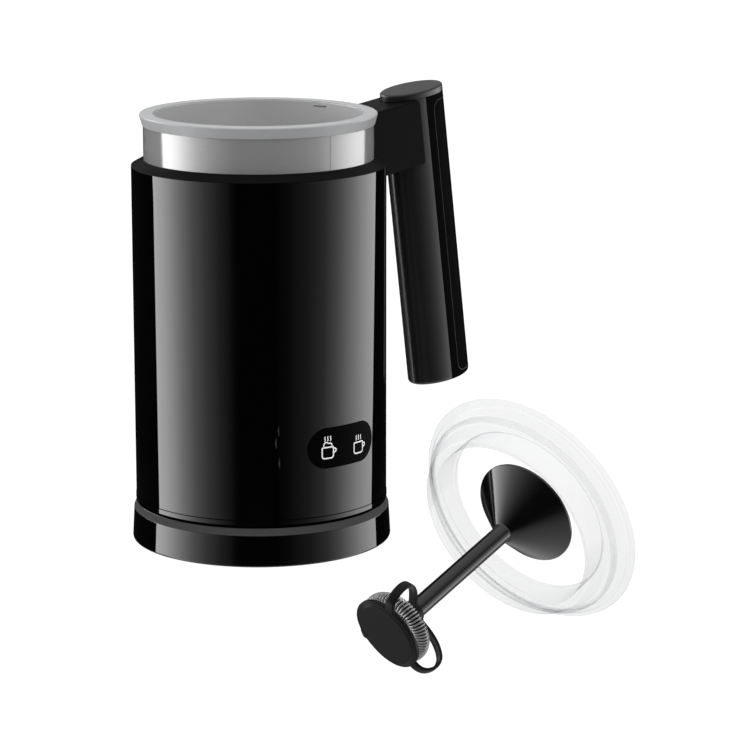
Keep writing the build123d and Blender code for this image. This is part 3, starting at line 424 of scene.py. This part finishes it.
wornBy = {
    "pianoBlack": ["jug_shell"],
    "baseBlack": ["base_shell", "base_cover", "jug_foot"],
    "collarBlack": ["shoulder_collar"],
    "handleBlack": ["handle_shell"],
    # the cap wears a lighter copy of the handle black, painted light on its top face
    "capLitBlack": ["handle_cap"],
    "gripBlack": ["handle_inlay"],
    "keyBlack": ["touch_key"],
    "holderBlack": ["holder_cone", "whisk_rod"],
    "whiskBlack": ["whisk_frame"],
    "rimGrey": ["rim_ring"],
    "footRubber": ["base_pads", "cord_inlet"],
    "couplingBlack": ["base_plug", "jug_socket"],
    "innerNylon": ["motor_bracket", "board_frame", "magnet_carrier"],
    "greySilicone": ["bowl_gasket"],
    "boardGreen": ["power_board", "control_board"],
    "relayBlue": ["relay"],
    "partBlack": ["temperature_sensor", "capacitor", "push_switches"],
    "lampWhite": ["panel_lamps"],
    "neckSteel": ["neck_band"],
    "bowlSteel": ["steel_bowl"],
    "screwSteel": ["base_screws", "foot_screws", "thermal_fuse", "bracket_screws", "motor", "motor_screws",
                   "key_pin", "board_screws", "handle_screws"],
    "shaftSteel": ["motor_shaft"],
    "magnetNickel": ["drive_magnets", "whisk_magnets"],
    "contactBrass": ["plug_contacts", "socket_contacts"],
    "castAluminium": ["heater_plate"],
    "wireSteel": ["whisk_coil"],
    "lidClear": ["lid_cap"],
    "sealClear": ["lid_seal"],
}
for finish, names in wornBy.items():
    for name in names:
        node = frame["nodes"][name]
        node.data.materials.clear()
        node.data.materials.append(finishes[finish])
dressed = {name for names in wornBy.values() for name in names}
print("nodes dressed:", len(dressed), "bare:", sorted(set(frame["nodes"]) - dressed))

# the whisk's and lid's own upright frame: heights along the axis, from the lid towards the whisk
whiskJoint = next(joint for joint in frame["joints"] if joint["name"] == "whisk_spin")
lidAxis = Vector(whiskJoint["axis"]).normalized()
lidAcross = Vector((0, 0, 1)).cross(lidAxis).normalized() * -1
lidUp = lidAxis.cross(lidAcross)


def lidFrame(origin):
    turned = Matrix((lidAcross, lidUp, lidAxis)).transposed().to_4x4()
    return Matrix.Translation(origin) @ turned


# the middle of the lid's outer face lies 80 mm back along the whisk's axis
lidMiddle = Vector(whiskJoint["pos_m"]) - lidAxis * 80 * mm

# power base: a housing and the satin trim on its bevel
baseLook = {"foot": 53.5, "shoulder": 52.8, "top": 51.6, "low": 0.4, "bevel": 13.2, "height": 16.2,
            "hole": 19.0}


def makeBase():
    look = baseLook
    housing = lathe("baseHousing", [
        (look["foot"] - 2.2, look["low"], 0), (look["foot"], look["low"], 0.8),
        (look["shoulder"], look["bevel"], 0.4), (look["top"], look["height"], 0.3),
        (look["hole"], look["height"], 0.4), (look["hole"], look["height"] - 2.2, 0.3),
        (look["top"] - 1.4, look["height"] - 2.2, 1.0),
    ], finishes["baseBlack"])
    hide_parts("base_shell")
    trim = lathe("baseTrim", [
        (look["shoulder"] - 0.4, look["bevel"], 0), (look["shoulder"] + 0.05, look["bevel"], 0.15),
        (look["top"] + 0.05, look["height"] - 0.1, 0.15), (look["top"] - 0.4, look["height"] - 0.1, 0),
    ], finishes["trimSatin"])
    for piece in (housing, trim):
        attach(piece, "base")


makeBase()
print("base turned")


# jug: steel bowl, its plastic rim, the shoulder and the block that carries the handle
def topOf(node):
    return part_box(node)[1].z / mm


def lowOf(node):
    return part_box(node)[0].z / mm


bowlLook = {"inside": 42.3, "outside": 43.1, "flange": 45.8, "floor": 84.0, "corner": 5.2, "lip": 0.5}
rimLook = {"bore": 42.66, "foot": 47.1, "top": 48.4}
shoulderLook = {"edge": 51.8, "neck": 46.85, "drop": 5.7, "rise": 2.7}


def makeBowl():
    look = bowlLook
    flangeTop, lipTop = topOf("steel_bowl"), topOf("rim_ring") - look["lip"]
    bowl = lathe("milkBowl", [
        (0, look["floor"] - 0.8, 0), (look["outside"], look["floor"] - 0.8, look["corner"] + 0.8),
        (look["outside"], flangeTop - 0.8, 0.3), (look["flange"], flangeTop - 0.8, 0.2),
        (look["flange"], flangeTop, 0.2), (look["inside"] + 0.3, flangeTop, 0),
        (look["inside"] + 0.3, lipTop, 0.1), (look["inside"], lipTop, 0.1),
        (look["inside"], look["floor"], look["corner"]), (0, look["floor"], 0),
    ], finishes["bowlSteel"], None, True, 200, 8)
    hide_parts("steel_bowl")
    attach(bowl, "jug")


def makeRim():
    low, high = lowOf("rim_ring"), topOf("rim_ring")
    rim = lathe("jugRim", [
        (rimLook["bore"], low, 0), (rimLook["foot"], low, 0.3),
        (rimLook["top"], high, 0.75), (rimLook["bore"], high, 0.4),
    ], finishes["rimGrey"], None, True, 200)
    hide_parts("rim_ring")
    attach(rim, "jug")


def makeShoulder():
    look = shoulderLook
    shellTop = topOf("jug_shell")
    ring = lathe("shoulderRing", [
        (look["neck"], shellTop - look["drop"], 0), (look["edge"] - 2.4, shellTop - look["drop"], 0.3),
        (look["edge"] - 2.4, shellTop, 0), (look["edge"], shellTop, 0.05),
        (look["edge"], shellTop + 0.25, 0.12), (look["neck"], shellTop + 0.25 + look["rise"], 0.15),
    ], finishes["collarBlack"], None, True, 200)
    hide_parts("shoulder_collar")
    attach(ring, "jug")


makeBowl()
makeRim()
makeShoulder()
print("jug's bowl, rim and shoulder turned")

# handle: an oval column with a grip panel, and the block that joins it to the jug
handleLook = {"foot": (101.4, 52.3), "tilt": 7.6, "halfDepth": 15.3, "halfWidth": 10.5, "length": 125.1,
              "round": 1.6}
gripLook = {"crease": 96.4, "panel": 80.3, "margin": 2.7, "corner": 4.0, "deep": 0.45, "line": 0.13}
bridgeLook = {"low": 97.2, "high": 125.0, "end": -4.5, "halfWidth": 10.4, "corner": 2.5, "round": 0.9,
              "neck": 45.5, "wall": 50.4}


def handleSpot(out, across, up):
    turn = radians(handleLook["tilt"])
    x = handleLook["foot"][0] + out * cos(turn) - up * sin(turn)
    z = handleLook["foot"][1] + out * sin(turn) + up * cos(turn)
    return Vector((x, across, z)) * mm


def ovalSpot(degrees, inset, up):
    angle = radians(degrees)
    out = (handleLook["halfDepth"] - inset) * cos(angle)
    across = (handleLook["halfWidth"] - inset) * sin(angle)
    return handleSpot(out, across, up)


def handleLevels():
    # height and inset of each ring: a rounded foot, then straight up
    levels = []
    for step in range(7):
        angle = pi / 2 * step / 6
        levels.append((handleLook["round"] * (1 - cos(angle)), handleLook["round"] * (1 - sin(angle))))
    return levels + [(handleLook["length"] / 2, 0), (handleLook["length"], 0)]


def makeHandle():
    crease = gripLook["crease"]
    columnRings, gripRings = [], []
    for up, inset in handleLevels():
        sunk = inset + gripLook["deep"]
        ring = [ovalSpot(crease + (360 - 2 * crease) * step / 90, inset, up) for step in range(91)]
        ring += [ovalSpot(-crease + 2 * crease * step / 60, sunk, up) for step in range(61)]
        columnRings.append(ring)
        edge = crease - 0.6
        outer = [ovalSpot(-edge + 2 * edge * step / 90, inset, up) for step in range(91)]
        inner = [ovalSpot(edge - 2 * edge * step / 90, sunk - 0.05, up) for step in range(91)]
        gripRings.append(outer + inner)
    column = loft("handleColumn", columnRings, finishes["handleBlack"])
    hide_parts("handle_shell")
    grip = loft("handleGrip", gripRings, finishes["gripBlack"])
    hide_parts("handle_inlay")
    # a thin tube on the real seam, in lighter grey: a painted highlight of the panel's edge
    line = tubeAlong("gripSeamHighlight", panelLine(), gripLook["line"] * mm, finishes["gripSeamHighlight"], 8, True)
    for piece in (column, grip, line):
        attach(piece, "jug")


def panelLine():
    # the seam round the grip panel, with rounded corners; the lighter tube laid along it is a painted
    # highlight of the edge
    spots = []
    half, corner = gripLook["panel"], gripLook["corner"]
    turn = degrees(corner / handleLook["halfDepth"])
    low, high = gripLook["margin"], handleLook["length"] - gripLook["margin"]
    corners = ((half - turn, high - corner, 0), (-half + turn, high - corner, 90),
               (-half + turn, low + corner, 180), (half - turn, low + corner, 270))
    for place, up, first in corners:
        for step in range(13):
            angle = radians(first + 90 * step / 12)
            spots.append((place + turn * cos(angle), up + corner * sin(angle)))
    line = []
    for (start, startUp), (end, endUp) in zip(spots, spots[1:] + spots[:1]):
        parts = max(1, round(abs(end - start) / 4), round(abs(endUp - startUp) / 8))
        for part in range(parts):
            share = part / parts
            line.append(ovalSpot(start + (end - start) * share, 0.03, startUp + (endUp - startUp) * share))
    return line


def bridgeSpot(out, up):
    spot = handleSpot(out, 0, up) / mm
    return spot.x, spot.z


def bridgeLine(up, x):
    # the height where a line along the handle's outward direction reaches a distance from the jug's axis
    start, level = bridgeSpot(bridgeLook["end"], up)
    return x, level + (x - start) * tan(radians(handleLook["tilt"]))


def makeBridge():
    look = bridgeLook
    shellTop = topOf("jug_shell")
    corners = [
        (*bridgeLine(look["low"], look["wall"]), 0),
        (*bridgeSpot(look["end"], look["low"]), look["corner"] * 0.6),
        (*bridgeSpot(look["end"], look["high"]), look["corner"]),
        (*bridgeLine(look["high"], look["neck"]), 0),
        (look["neck"], shellTop + 1.5, 0), (look["wall"], shellTop - 1, 0),
    ]
    outline = roundedOutline(corners, True, 8)
    last = len(outline) - 3
    profile = [(spot, slope or Vector((0, 0))) for spot, slope in outline]
    profile[0] = (outline[0][0], outline[1][1])
    profile[last] = (outline[last][0], outline[last - 1][1])
    rings = []
    for side, step in [(-1, step) for step in range(7)] + [(1, step) for step in range(6, -1, -1)]:
        angle = pi / 2 * step / 6
        across = side * (look["halfWidth"] - look["round"] * (1 - cos(angle)))
        inset = look["round"] * (1 - sin(angle))
        rings.append([Vector((spot.x - slope.x * inset, across, spot.y - slope.y * inset)) * mm
                      for spot, slope in profile])
    bridge = loft("handleBridge", rings, finishes["collarBlack"])
    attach(bridge, "jug")


makeHandle()
makeBridge()
print("handle and bridge built")


# thin raised lines on a round wall: where it faces, its radius, the lines' level and how far they stand out
def wrapLine(points, faces, line, wide, wall, closed=False):
    # long stretches are cut into short ones, so the line follows the round wall
    fine, last = [], len(line) if closed else len(line) - 1
    for index in range(last):
        here, there = Vector(line[index]), Vector(line[(index + 1) % len(line)])
        parts = max(1, int((there - here).length / 0.6))
        fine += [here.lerp(there, part / parts) for part in range(parts)]
    line = fine if closed else fine + [Vector(line[-1])]
    start, count = len(points), len(line)
    for index, here in enumerate(line):
        before = line[index - 1] if closed or index else here
        after = line[(index + 1) % count] if closed or index < count - 1 else here
        along = Vector((after[0] - before[0], after[1] - before[1])).normalized()
        for side, proud in ((-0.5, 1), (0.5, 1), (0.5, -1), (-0.5, -1)):
            x, z = here[0] - along.y * wide * side, here[1] + along.x * wide * side
            turn = radians(wall["facing"]) + x / wall["radius"]
            radius = wall["radius"] + wall["proud"] * proud
            points.append(Vector((radius * cos(turn), radius * sin(turn), wall["level"] + z)) * mm)
    for index in range(count if closed else count - 1):
        here, there = start + 4 * index, start + 4 * ((index + 1) % count)
        for corner in range(4):
            on = (corner + 1) % 4
            faces.append([here + corner, here + on, there + on, there + corner])
    if not closed:
        faces.append([start + 3, start + 2, start + 1, start])
        faces.append([start + 4 * (count - 1) + corner for corner in range(4)])


def arcPoints(centre, radius, start, end, steps=10):
    spots = []
    for step in range(steps + 1):
        angle = radians(start + (end - start) * step / steps)
        spots.append((centre[0] + radius * cos(angle), centre[1] + radius * sin(angle)))
    return spots


# white line pictograms on the touch key: a mug with froth on the left, a plain mug on the right
keyPrint = {"line": 0.55, "thin": 0.42, "cupWide": 5.3, "cupTall": 4.5, "corner": 1.1, "ear": 1.35,
            "left": -8.5, "right": 7.9, "leftDrop": -2.0, "rightDrop": -2.4, "steam": 2.0, "lean": 0.5}


def cupLines(middle, level, frothy):
    look = keyPrint
    half, tall, corner = look["cupWide"] / 2, look["cupTall"] / 2, look["corner"]
    cup = []
    for x, z, bend, first in ((half - 0.3, tall - 0.3, 0.3, 0), (-half + 0.3, tall - 0.3, 0.3, 90),
                              (-half + corner, -tall + corner, corner, 180),
                              (half - corner, -tall + corner, corner, 270)):
        cup += arcPoints((middle + x, level + z), bend, first, first + 90, 5)
    ear = [(middle + half, level + tall - 0.7)]
    ear += arcPoints((middle + half + look["ear"] - 0.75, level + tall - 1.45), 0.75, 90, -90, 8)
    ear.append((middle + half, level + tall - 2.7))
    lines = [(cup, look["line"], True), (ear, look["line"], False)]
    top = level + tall + 0.9
    if frothy:
        froth = arcPoints((middle - 0.75, top + 0.05), 1.15, 200, 40, 9)
        froth += arcPoints((middle + 1.05, top - 0.15), 0.9, 110, -25, 7)
        lines.append((froth, look["line"] * 0.9, False))
        top += 1.6
    for puff in (-1.35, 0, 1.35):
        steam = []
        for step in range(9):
            share = step / 8
            x = middle + puff + look["lean"] * (share - 0.5) + 0.22 * sin(2 * pi * share)
            steam.append((x, top + look["steam"] * share))
        lines.append((steam, look["thin"], False))
    return lines


def makePrints():
    low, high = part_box("touch_key")
    wall = {"radius": -low.y / mm, "facing": -90, "level": (low.z + high.z) / 2 / mm, "proud": 0.03}
    points, faces = [], []
    lines = cupLines(keyPrint["left"], keyPrint["leftDrop"], True)
    lines += cupLines(keyPrint["right"], keyPrint["rightDrop"], False)
    for line, wide, closed in lines:
        wrapLine(points, faces, line, wide, wall, closed)
    prints = addMesh("keyPictograms", points, faces, finishes["inkWhite"])
    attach(prints, "key")


makePrints()
print("pictograms printed")

# the neck's seam and the bowl's fill mark
neckSeam = {"radius": 46.75, "facing": -93.3, "level": 0, "proud": 0.04, "wide": 0.22, "low": 158.3,
            "high": 171.4}
fillMark = {"radius": 42.3, "facing": 12.5, "level": 174.3, "proud": 0.12, "wide": 0.6, "half": 3.2}


def makeSmallMarks():
    points, faces = [], []
    wrapLine(points, faces, [(0, neckSeam["low"]), (0, neckSeam["high"])], neckSeam["wide"], neckSeam)
    seam = addMesh("neckSeam", points, faces, finishes["seamSteel"])
    points, faces = [], []
    half = fillMark["half"]
    wrapLine(points, faces, [(half * step / 4, 0) for step in range(-4, 5)], fillMark["wide"], fillMark)
    mark = addMesh("fillMark", points, faces, finishes["seamSteel"])
    for piece in (seam, mark):
        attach(piece, "jug")


makeSmallMarks()
print("seam and fill mark added")

# lid: a clear disc, a milky flange and skirt; heights run along the axis from the outer face
lidLook = {"edge": 47.0, "bead": 3.4, "lip": 44.6, "skirt": 41.7, "step": 39.7, "stepAt": 7.3,
           "end": 37.4, "endAt": 14.7, "inside": 34.2, "plate": 2.0, "boss": 12.0, "bossTall": 6.0}
coneLook = {"wide": 20.6, "wideAt": 2.3, "edge": 1.0, "small": 4.1, "smallAt": 17.6,
            "socket": 12.06, "rod": 3.5, "sunk": 6.0, "cavity": 6.3}


def makeLid():
    look = lidLook
    place = lidFrame(lidMiddle)
    edge, inside = look["edge"], look["inside"]
    shell = lathe("lidSkirt", [
        (inside, 0.1, 0), (edge - look["bead"] - 0.6, 0.1, 0.3), (edge - look["bead"], -0.6, 0.3),
        (edge - 0.25, -0.6, 0.5), (edge, 0.2, 0.3), (edge - 0.5, 1.35, 0.3), (look["lip"], 1.5, 0.25),
        (look["lip"], 2.4, 0.3), (look["lip"] - 1.0, 3.0, 0.3), (look["skirt"], 3.8, 0.3),
        (look["skirt"] - 0.1, look["stepAt"], 0.3), (look["step"], look["stepAt"] + 0.25, 0.2),
        (look["end"], look["endAt"], 0.9), (look["end"] - 1.5, look["endAt"], 0.4),
        (look["end"] - 1.8, look["endAt"] - 0.5, 0.2), (inside + 0.3, look["endAt"] - 0.5, 0.3),
        (inside, look["endAt"] - 1.0, 0.3), (inside, look["plate"], 0.8), (inside - 0.6, look["plate"], 0),
        (inside - 0.6, 0.1, 0),
    ], finishes["lidMilky"], place, True, 180)
    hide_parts("lid_cap")
    disc = lathe("lidDisc", [
        (0, 0.1, 0), (inside - 0.65, 0.1, 0.05), (inside - 0.65, look["plate"], 0.05), (0, look["plate"], 0),
    ], finishes["lidClear"], place, True, 120)
    collar = lathe("lidSocket", [
        (look["boss"] - 2, look["plate"] + 0.03, 0), (look["boss"], look["plate"] + 0.03, 0.1),
        (look["boss"], look["plate"] + look["bossTall"], 0.3),
        (look["boss"] - 2, look["plate"] + look["bossTall"], 0.3),
    ], finishes["lidMilky"], place, True, 96)
    seal = lathe("lidRing", [
        (look["skirt"] - 0.9, 4.3, 0), (look["skirt"] + 0.5, 4.4, 0.3), (look["skirt"] + 0.15, 5.6, 0.3),
        (look["skirt"] + 0.5, 6.8, 0.3), (look["skirt"] - 0.9, 6.9, 0),
    ], finishes["sealClear"], place, True, 180)
    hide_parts("lid_seal")
    for piece in (shell, disc, collar, seal):
        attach(piece, "lid")
        piece.visible_glossy = False


def makeCone():
    look = coneLook
    cone = lathe("coneHolder", [
        (look["socket"], look["wideAt"], 0), (look["wide"], look["wideAt"], 0.25),
        (look["wide"], look["wideAt"] + look["edge"], 0.2), (look["small"], look["smallAt"], 0.5),
        (look["rod"] + 0.02, look["smallAt"], 0), (look["rod"] + 0.02, look["smallAt"] - look["sunk"], 0),
        (0, look["smallAt"] - look["sunk"], 0), (0, look["wideAt"] + look["cavity"], 0),
        (look["socket"], look["wideAt"] + look["cavity"], 0),
    ], finishes["holderBlack"], lidFrame(lidMiddle), True, 160)
    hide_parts("holder_cone")
    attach(cone, "holder")
    cone.visible_glossy = False
    frame["nodes"]["whisk_rod"].visible_glossy = False


makeLid()
makeCone()
print("lid and cone turned")

# whisk: an oval plate, three flat straps that rise to the hub, and a wire coil
# heights count back from the plate
whiskLook = {
    "depth": 88.0,
    "tall": 17.0,
    "hub": 4.7,
    "hubTall": 5.0,
    "strapTurn": 10,
    "strapWide": 3.6,
    "strapThick": 1.3,
    "strapReach": (13.6, 19.9, 18.5),
    "magnetCircle": 8.6,
    "magnetRadius": 2.4,
    "magnetTall": 1.2,
    "magnetCover": 0.5,
}
plateLook = {"middle": 12.85, "oval": 1.45, "ovalTurn": -52, "shift": -0.4}
# a strap's (radius, height) from the plate to the hub, before it is stretched to its own reach
strapProfile = ((11.0, 1.0), (14.6, 1.4), (16.6, 3.6), (17.4, 7.5), (16.4, 11.3), (13.4, 14.0), (9.2, 15.2),
                (3.6, 15.4))


def plateRadius(degrees):
    look = plateLook
    return (look["middle"] + look["oval"] * cos(radians(2 * (degrees - look["ovalTurn"])))
            + look["shift"] * sin(radians(degrees)))


def smoothPath(spots, steps):
    # a soft curve through every spot
    path = []
    for index in range(len(spots) - 1):
        first, second = spots[index], spots[index + 1]
        before = spots[index - 1] if index else first
        after = spots[index + 2] if index + 2 < len(spots) else second
        for step in range(steps):
            t = step / steps
            path.append(tuple(0.5 * (2 * b + (c - a) * t + (2 * a - 5 * b + 4 * c - d) * t * t
                                     + (3 * b - a - 3 * c + d) * t ** 3)
                              for a, b, c, d in zip(before, first, second, after)))
    return path + [tuple(spots[-1])]


def stretchedProfile(reach):
    root, widest = strapProfile[0][0], max(radius for radius, _ in strapProfile)
    stretch = (reach - root) / (widest - root)
    spots = []
    for radius, height in strapProfile:
        spots.append((root + (radius - root) * stretch if radius > root else radius, height))
    return spots


def makeWhisk():
    look = whiskLook
    place = lidFrame(lidMiddle)
    depth = look["depth"]
    pieces, magnets = [], []
    # share of the outline and height below the front face, from the back to the front
    levels = ((0.9, 2.2), (0.985, 2.1), (1.0, 1.7), (1.0, 0.75), (0.975, 0.5), (0.95, 0.5), (0.94, 0.3),
              (0.905, 0.25),
              (0.895, 0.4), (0.875, 0.4), (0.865, 0.12), (0.82, 0.04), (0.5, 0.0))
    rings = []
    for share, below in levels:
        ring = []
        for turn in range(120):
            angle = radians(3 * turn)
            reach = plateRadius(3 * turn) * share
            ring.append(place @ (Vector((reach * cos(angle), reach * sin(angle), depth - below)) * mm))
        rings.append(ring)
    pieces.append(loft("whiskPlate", rings, finishes["whiskBlack"], 28))
    for index in range(3):
        turn = radians(look["strapTurn"] + 120 * index)
        out = Vector((cos(turn), sin(turn), 0))
        side = Vector((-sin(turn), cos(turn), 0))
        centre = smoothPath(stretchedProfile(look["strapReach"][index]), 7)
        rings = []
        for spot, (radius, height) in enumerate(centre):
            before, after = centre[max(spot - 1, 0)], centre[min(spot + 1, len(centre) - 1)]
            along = Vector((after[0] - before[0], after[1] - before[1])).normalized()
            normal = Vector((along.y, -along.x))
            share = spot / (len(centre) - 1)
            half = look["strapWide"] / 2 * (1 + 0.35 * (1 - min(share / 0.25, 1)) ** 2)
            ring = []
            for corner in range(16):
                angle = 2 * pi * corner / 16
                wide = half * copysign(abs(cos(angle)) ** 0.6, cos(angle))
                thick = look["strapThick"] / 2 * copysign(abs(sin(angle)) ** 0.6, sin(angle))
                reach, level = radius + normal.x * thick, height + normal.y * thick
                ring.append(place @ ((out * reach + side * wide + Vector((0, 0, depth - level))) * mm))
            rings.append(ring)
        pieces.append(loft("whiskStrap" + str(index + 1), rings, finishes["whiskBlack"], 50))
        magnetPlace = place @ Matrix.Translation(side * look["magnetCircle"] * mm)
        front = depth - look["magnetCover"]
        back = front - look["magnetTall"]
        magnets.append(lathe("whiskMagnet" + str(index + 1), [
            (0, back, 0), (look["magnetRadius"], back, 0.2), (look["magnetRadius"], front, 0.2),
            (0, front, 0),
        ], finishes["magnetNickel"], magnetPlace, True, 32))
    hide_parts("whisk_magnets")
    for magnet in magnets:
        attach(magnet, "whisk")
    top = depth - look["tall"]
    pieces.append(lathe("whiskHub", [
        (2.1, top, 0), (look["hub"] - 0.4, top, 0.5), (look["hub"], top + look["hubTall"], 0.8),
        (2.1, top + look["hubTall"], 0.2),
    ], finishes["whiskBlack"], place, True, 96))
    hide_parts("whisk_frame")
    for piece in pieces:
        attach(piece, "whisk")
        piece.visible_glossy = False


makeWhisk()
print("whisk built")

coilSize = {"turns": 66, "middle": 11.3, "tube": 2.8, "wire": 0.29, "steps": 14, "core": 2.1}


def makeCoil():
    low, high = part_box("whisk_coil")
    place = lidFrame((low + high) / 2)
    path = []
    total = coilSize["turns"] * coilSize["steps"]
    for step in range(total):
        around = 2 * pi * step / total
        inside = 2 * pi * step / coilSize["steps"]
        reach = coilSize["middle"] + coilSize["tube"] * cos(inside)
        level = coilSize["tube"] * sin(inside)
        path.append(place @ (Vector((reach * cos(around), reach * sin(around), level)) * mm))
    coil = tubeAlong("whiskCoil", path, coilSize["wire"] * mm, finishes["wireSteel"], 6, True)
    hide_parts("whisk_coil")
    ring = []
    for step in range(96):
        around = 2 * pi * step / 96
        spot = Vector((cos(around), sin(around), 0)) * coilSize["middle"]
        ring.append(place @ (spot * mm))
    core = tubeAlong("coilCore", ring, coilSize["core"] * mm, finishes["coreBlack"], 16, True)
    for piece in (coil, core):
        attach(piece, "whisk")
        piece.visible_glossy = False


makeCoil()
print("coil wound")

# studio: a pale round floor that turns up at its edge, tall softboxes and an even sky
studio = {
    "floorRadius": 5000,
    "wallHeight": 6000,
    "floorGlow": 1.0,
    "boxDistance": 1.5,
    "topShade": 0.15,
    "topLightSize": 1.6,
    "topLightPower": 26,
    "topLightAt": (0.15, -0.35, 1.7),
}
# each softbox: turned from and to, in degrees from the camera, with its outer edge given by height in metres;
# its glow rises over its width as (share, strength) pairs, and above its fade height it is shaded
softboxes = {
    "leftSoftbox": {
        "from": -16,
        "edge": ((-1.1, -90), (-0.46, -92), (-0.4, -104), (-0.09, -106), (0.08, -112), (0.2, -138),
                 (0.6, -138), (1.05, -130)),
        "glow": ((0, 0), (0.06, 0.05), (0.2, 0.3), (0.34, 0.75), (0.48, 1.5), (0.62, 2.9), (0.76, 4.6),
                 (0.86, 5.3), (1, 5.2)),
    },
    "rightSoftbox": {
        "from": 14,
        "edge": ((-1.1, 106), (-0.46, 108), (-0.4, 121), (-0.09, 130), (0.1, 136), (0.72, 138)),
        "glow": ((0, 0), (0.12, 0.06), (0.28, 0.2), (0.42, 0.5), (0.54, 1.2), (0.66, 2.3), (0.78, 3.1),
                 (0.88, 3.2), (1, 2.7)),
        "fadeAbove": 0.5,
    },
    "rearSoftbox": {
        "from": 150,
        "edge": ((0.45, 212), (0.9, 212)),
        "glow": ((0, 0.4), (1, 0.4)),
    },
}


def emissive(name):
    material = bpy.data.materials.new(name)
    material.use_nodes = True
    tree = material.node_tree
    tree.nodes.remove(tree.nodes["Principled BSDF"])
    glow = addNode(tree, "ShaderNodeEmission", None, {"Strength": 1.0})
    tree.links.new(glow.outputs["Emission"], tree.nodes["Material Output"].inputs["Surface"])
    return material, tree, glow


def makeFloor():
    material, _, _ = startMaterial(
        "paleFloor",
        {
            "Base Color": (0.03, 0.03, 0.03, 1),
            "Roughness": 0.9,
            "Emission Color": (1, 1, 1, 1),
            "Emission Strength": studio["floorGlow"],
        },
    )
    radius, tall = studio["floorRadius"], studio["wallHeight"]
    floor = lathe("floor", [(0, 0, 0), (radius, 0, 1500), (radius, tall, 0)], material, None, False, 96, 12)
    floor.visible_glossy = False


def between(pairs, at):
    # straight steps between (place, value) pairs
    for (first, low), (second, high) in zip(pairs, pairs[1:]):
        if at <= second:
            return low + (high - low) * max(0, at - first) / (second - first)
    return pairs[-1][1]


def makeSoftbox(name, look):
    columns = 64
    points, faces, glow = [], [], []
    rows = len(look["edge"])
    for column in range(columns + 1):
        share = column / columns
        for level, edge in look["edge"]:
            turn = radians(viewOf["azimuth"] + look["from"] + (edge - look["from"]) * share)
            points.append(Vector((sin(turn), -cos(turn), 0)) * studio["boxDistance"] + Vector((0, 0, level)))
            faded = studio["topShade"] if level > look.get("fadeAbove", level) else 1
            glow.append(between(look["glow"], share) * faded)
        if column:
            for row in range(rows - 1):
                here = column * rows + row
                faces.append([here - rows, here, here + 1, here - rows + 1])
    material, tree, shader = emissive(name)
    shade = addNode(tree, "ShaderNodeAttribute", {"attribute_name": "glow"})
    tree.links.new(shade.outputs["Color"], shader.inputs["Color"])
    box = addMesh(name, points, faces, material)
    colours = box.data.color_attributes.new("glow", "FLOAT_COLOR", "POINT")
    for index, value in enumerate(glow):
        colours.data[index].color = (value, value, value, 1)
    box.visible_camera = False
    box.visible_transmission = False


def makeSky():
    world = bpy.data.worlds.new("sky")
    bpy.context.scene.world = world
    world.use_nodes = True
    tree = world.node_tree
    back = tree.nodes["Background"]
    place = addNode(tree, "ShaderNodeTexCoord")
    split = addNode(tree, "ShaderNodeSeparateXYZ")
    spread = addNode(tree, "ShaderNodeMapRange", None, {"From Min": -1.0, "From Max": 1.0})
    ramp = addNode(tree, "ShaderNodeValToRGB")
    stops = ((0.0, 1.0), (0.15, 0.7), (0.3, 0.06), (0.38, 0.006), (0.56, 0.008), (0.64, 0.15), (0.76, 0.4),
             (0.9, 0.9), (1.0, 1.1))
    ramp.color_ramp.elements[0].position = stops[0][0]
    ramp.color_ramp.elements[1].position = stops[-1][0]
    for at, _ in stops[1:-1]:
        ramp.color_ramp.elements.new(at)
    for element, (_, value) in zip(ramp.color_ramp.elements, stops):
        element.color = (value, value, value, 1)
    tree.links.new(place.outputs["Generated"], split.inputs["Vector"])
    tree.links.new(split.outputs["Z"], spread.inputs["Value"])
    tree.links.new(spread.outputs["Result"], ramp.inputs["Fac"])
    tree.links.new(ramp.outputs["Color"], back.inputs["Color"])


def makeTopLight():
    light = bpy.data.lights.new("topLight", "AREA")
    light.shape, light.size = "DISK", studio["topLightSize"]
    light.energy = studio["topLightPower"]
    holder = bpy.data.objects.new("topLight", light)
    bpy.context.scene.collection.objects.link(holder)
    holder.location = studio["topLightAt"]
    holder.visible_camera = False
    holder.visible_glossy = False


makeFloor()
for name, look in softboxes.items():
    makeSoftbox(name, look)
makeSky()
makeTopLight()
bpy.context.scene.view_settings.view_transform = "Standard"
print("studio lit")
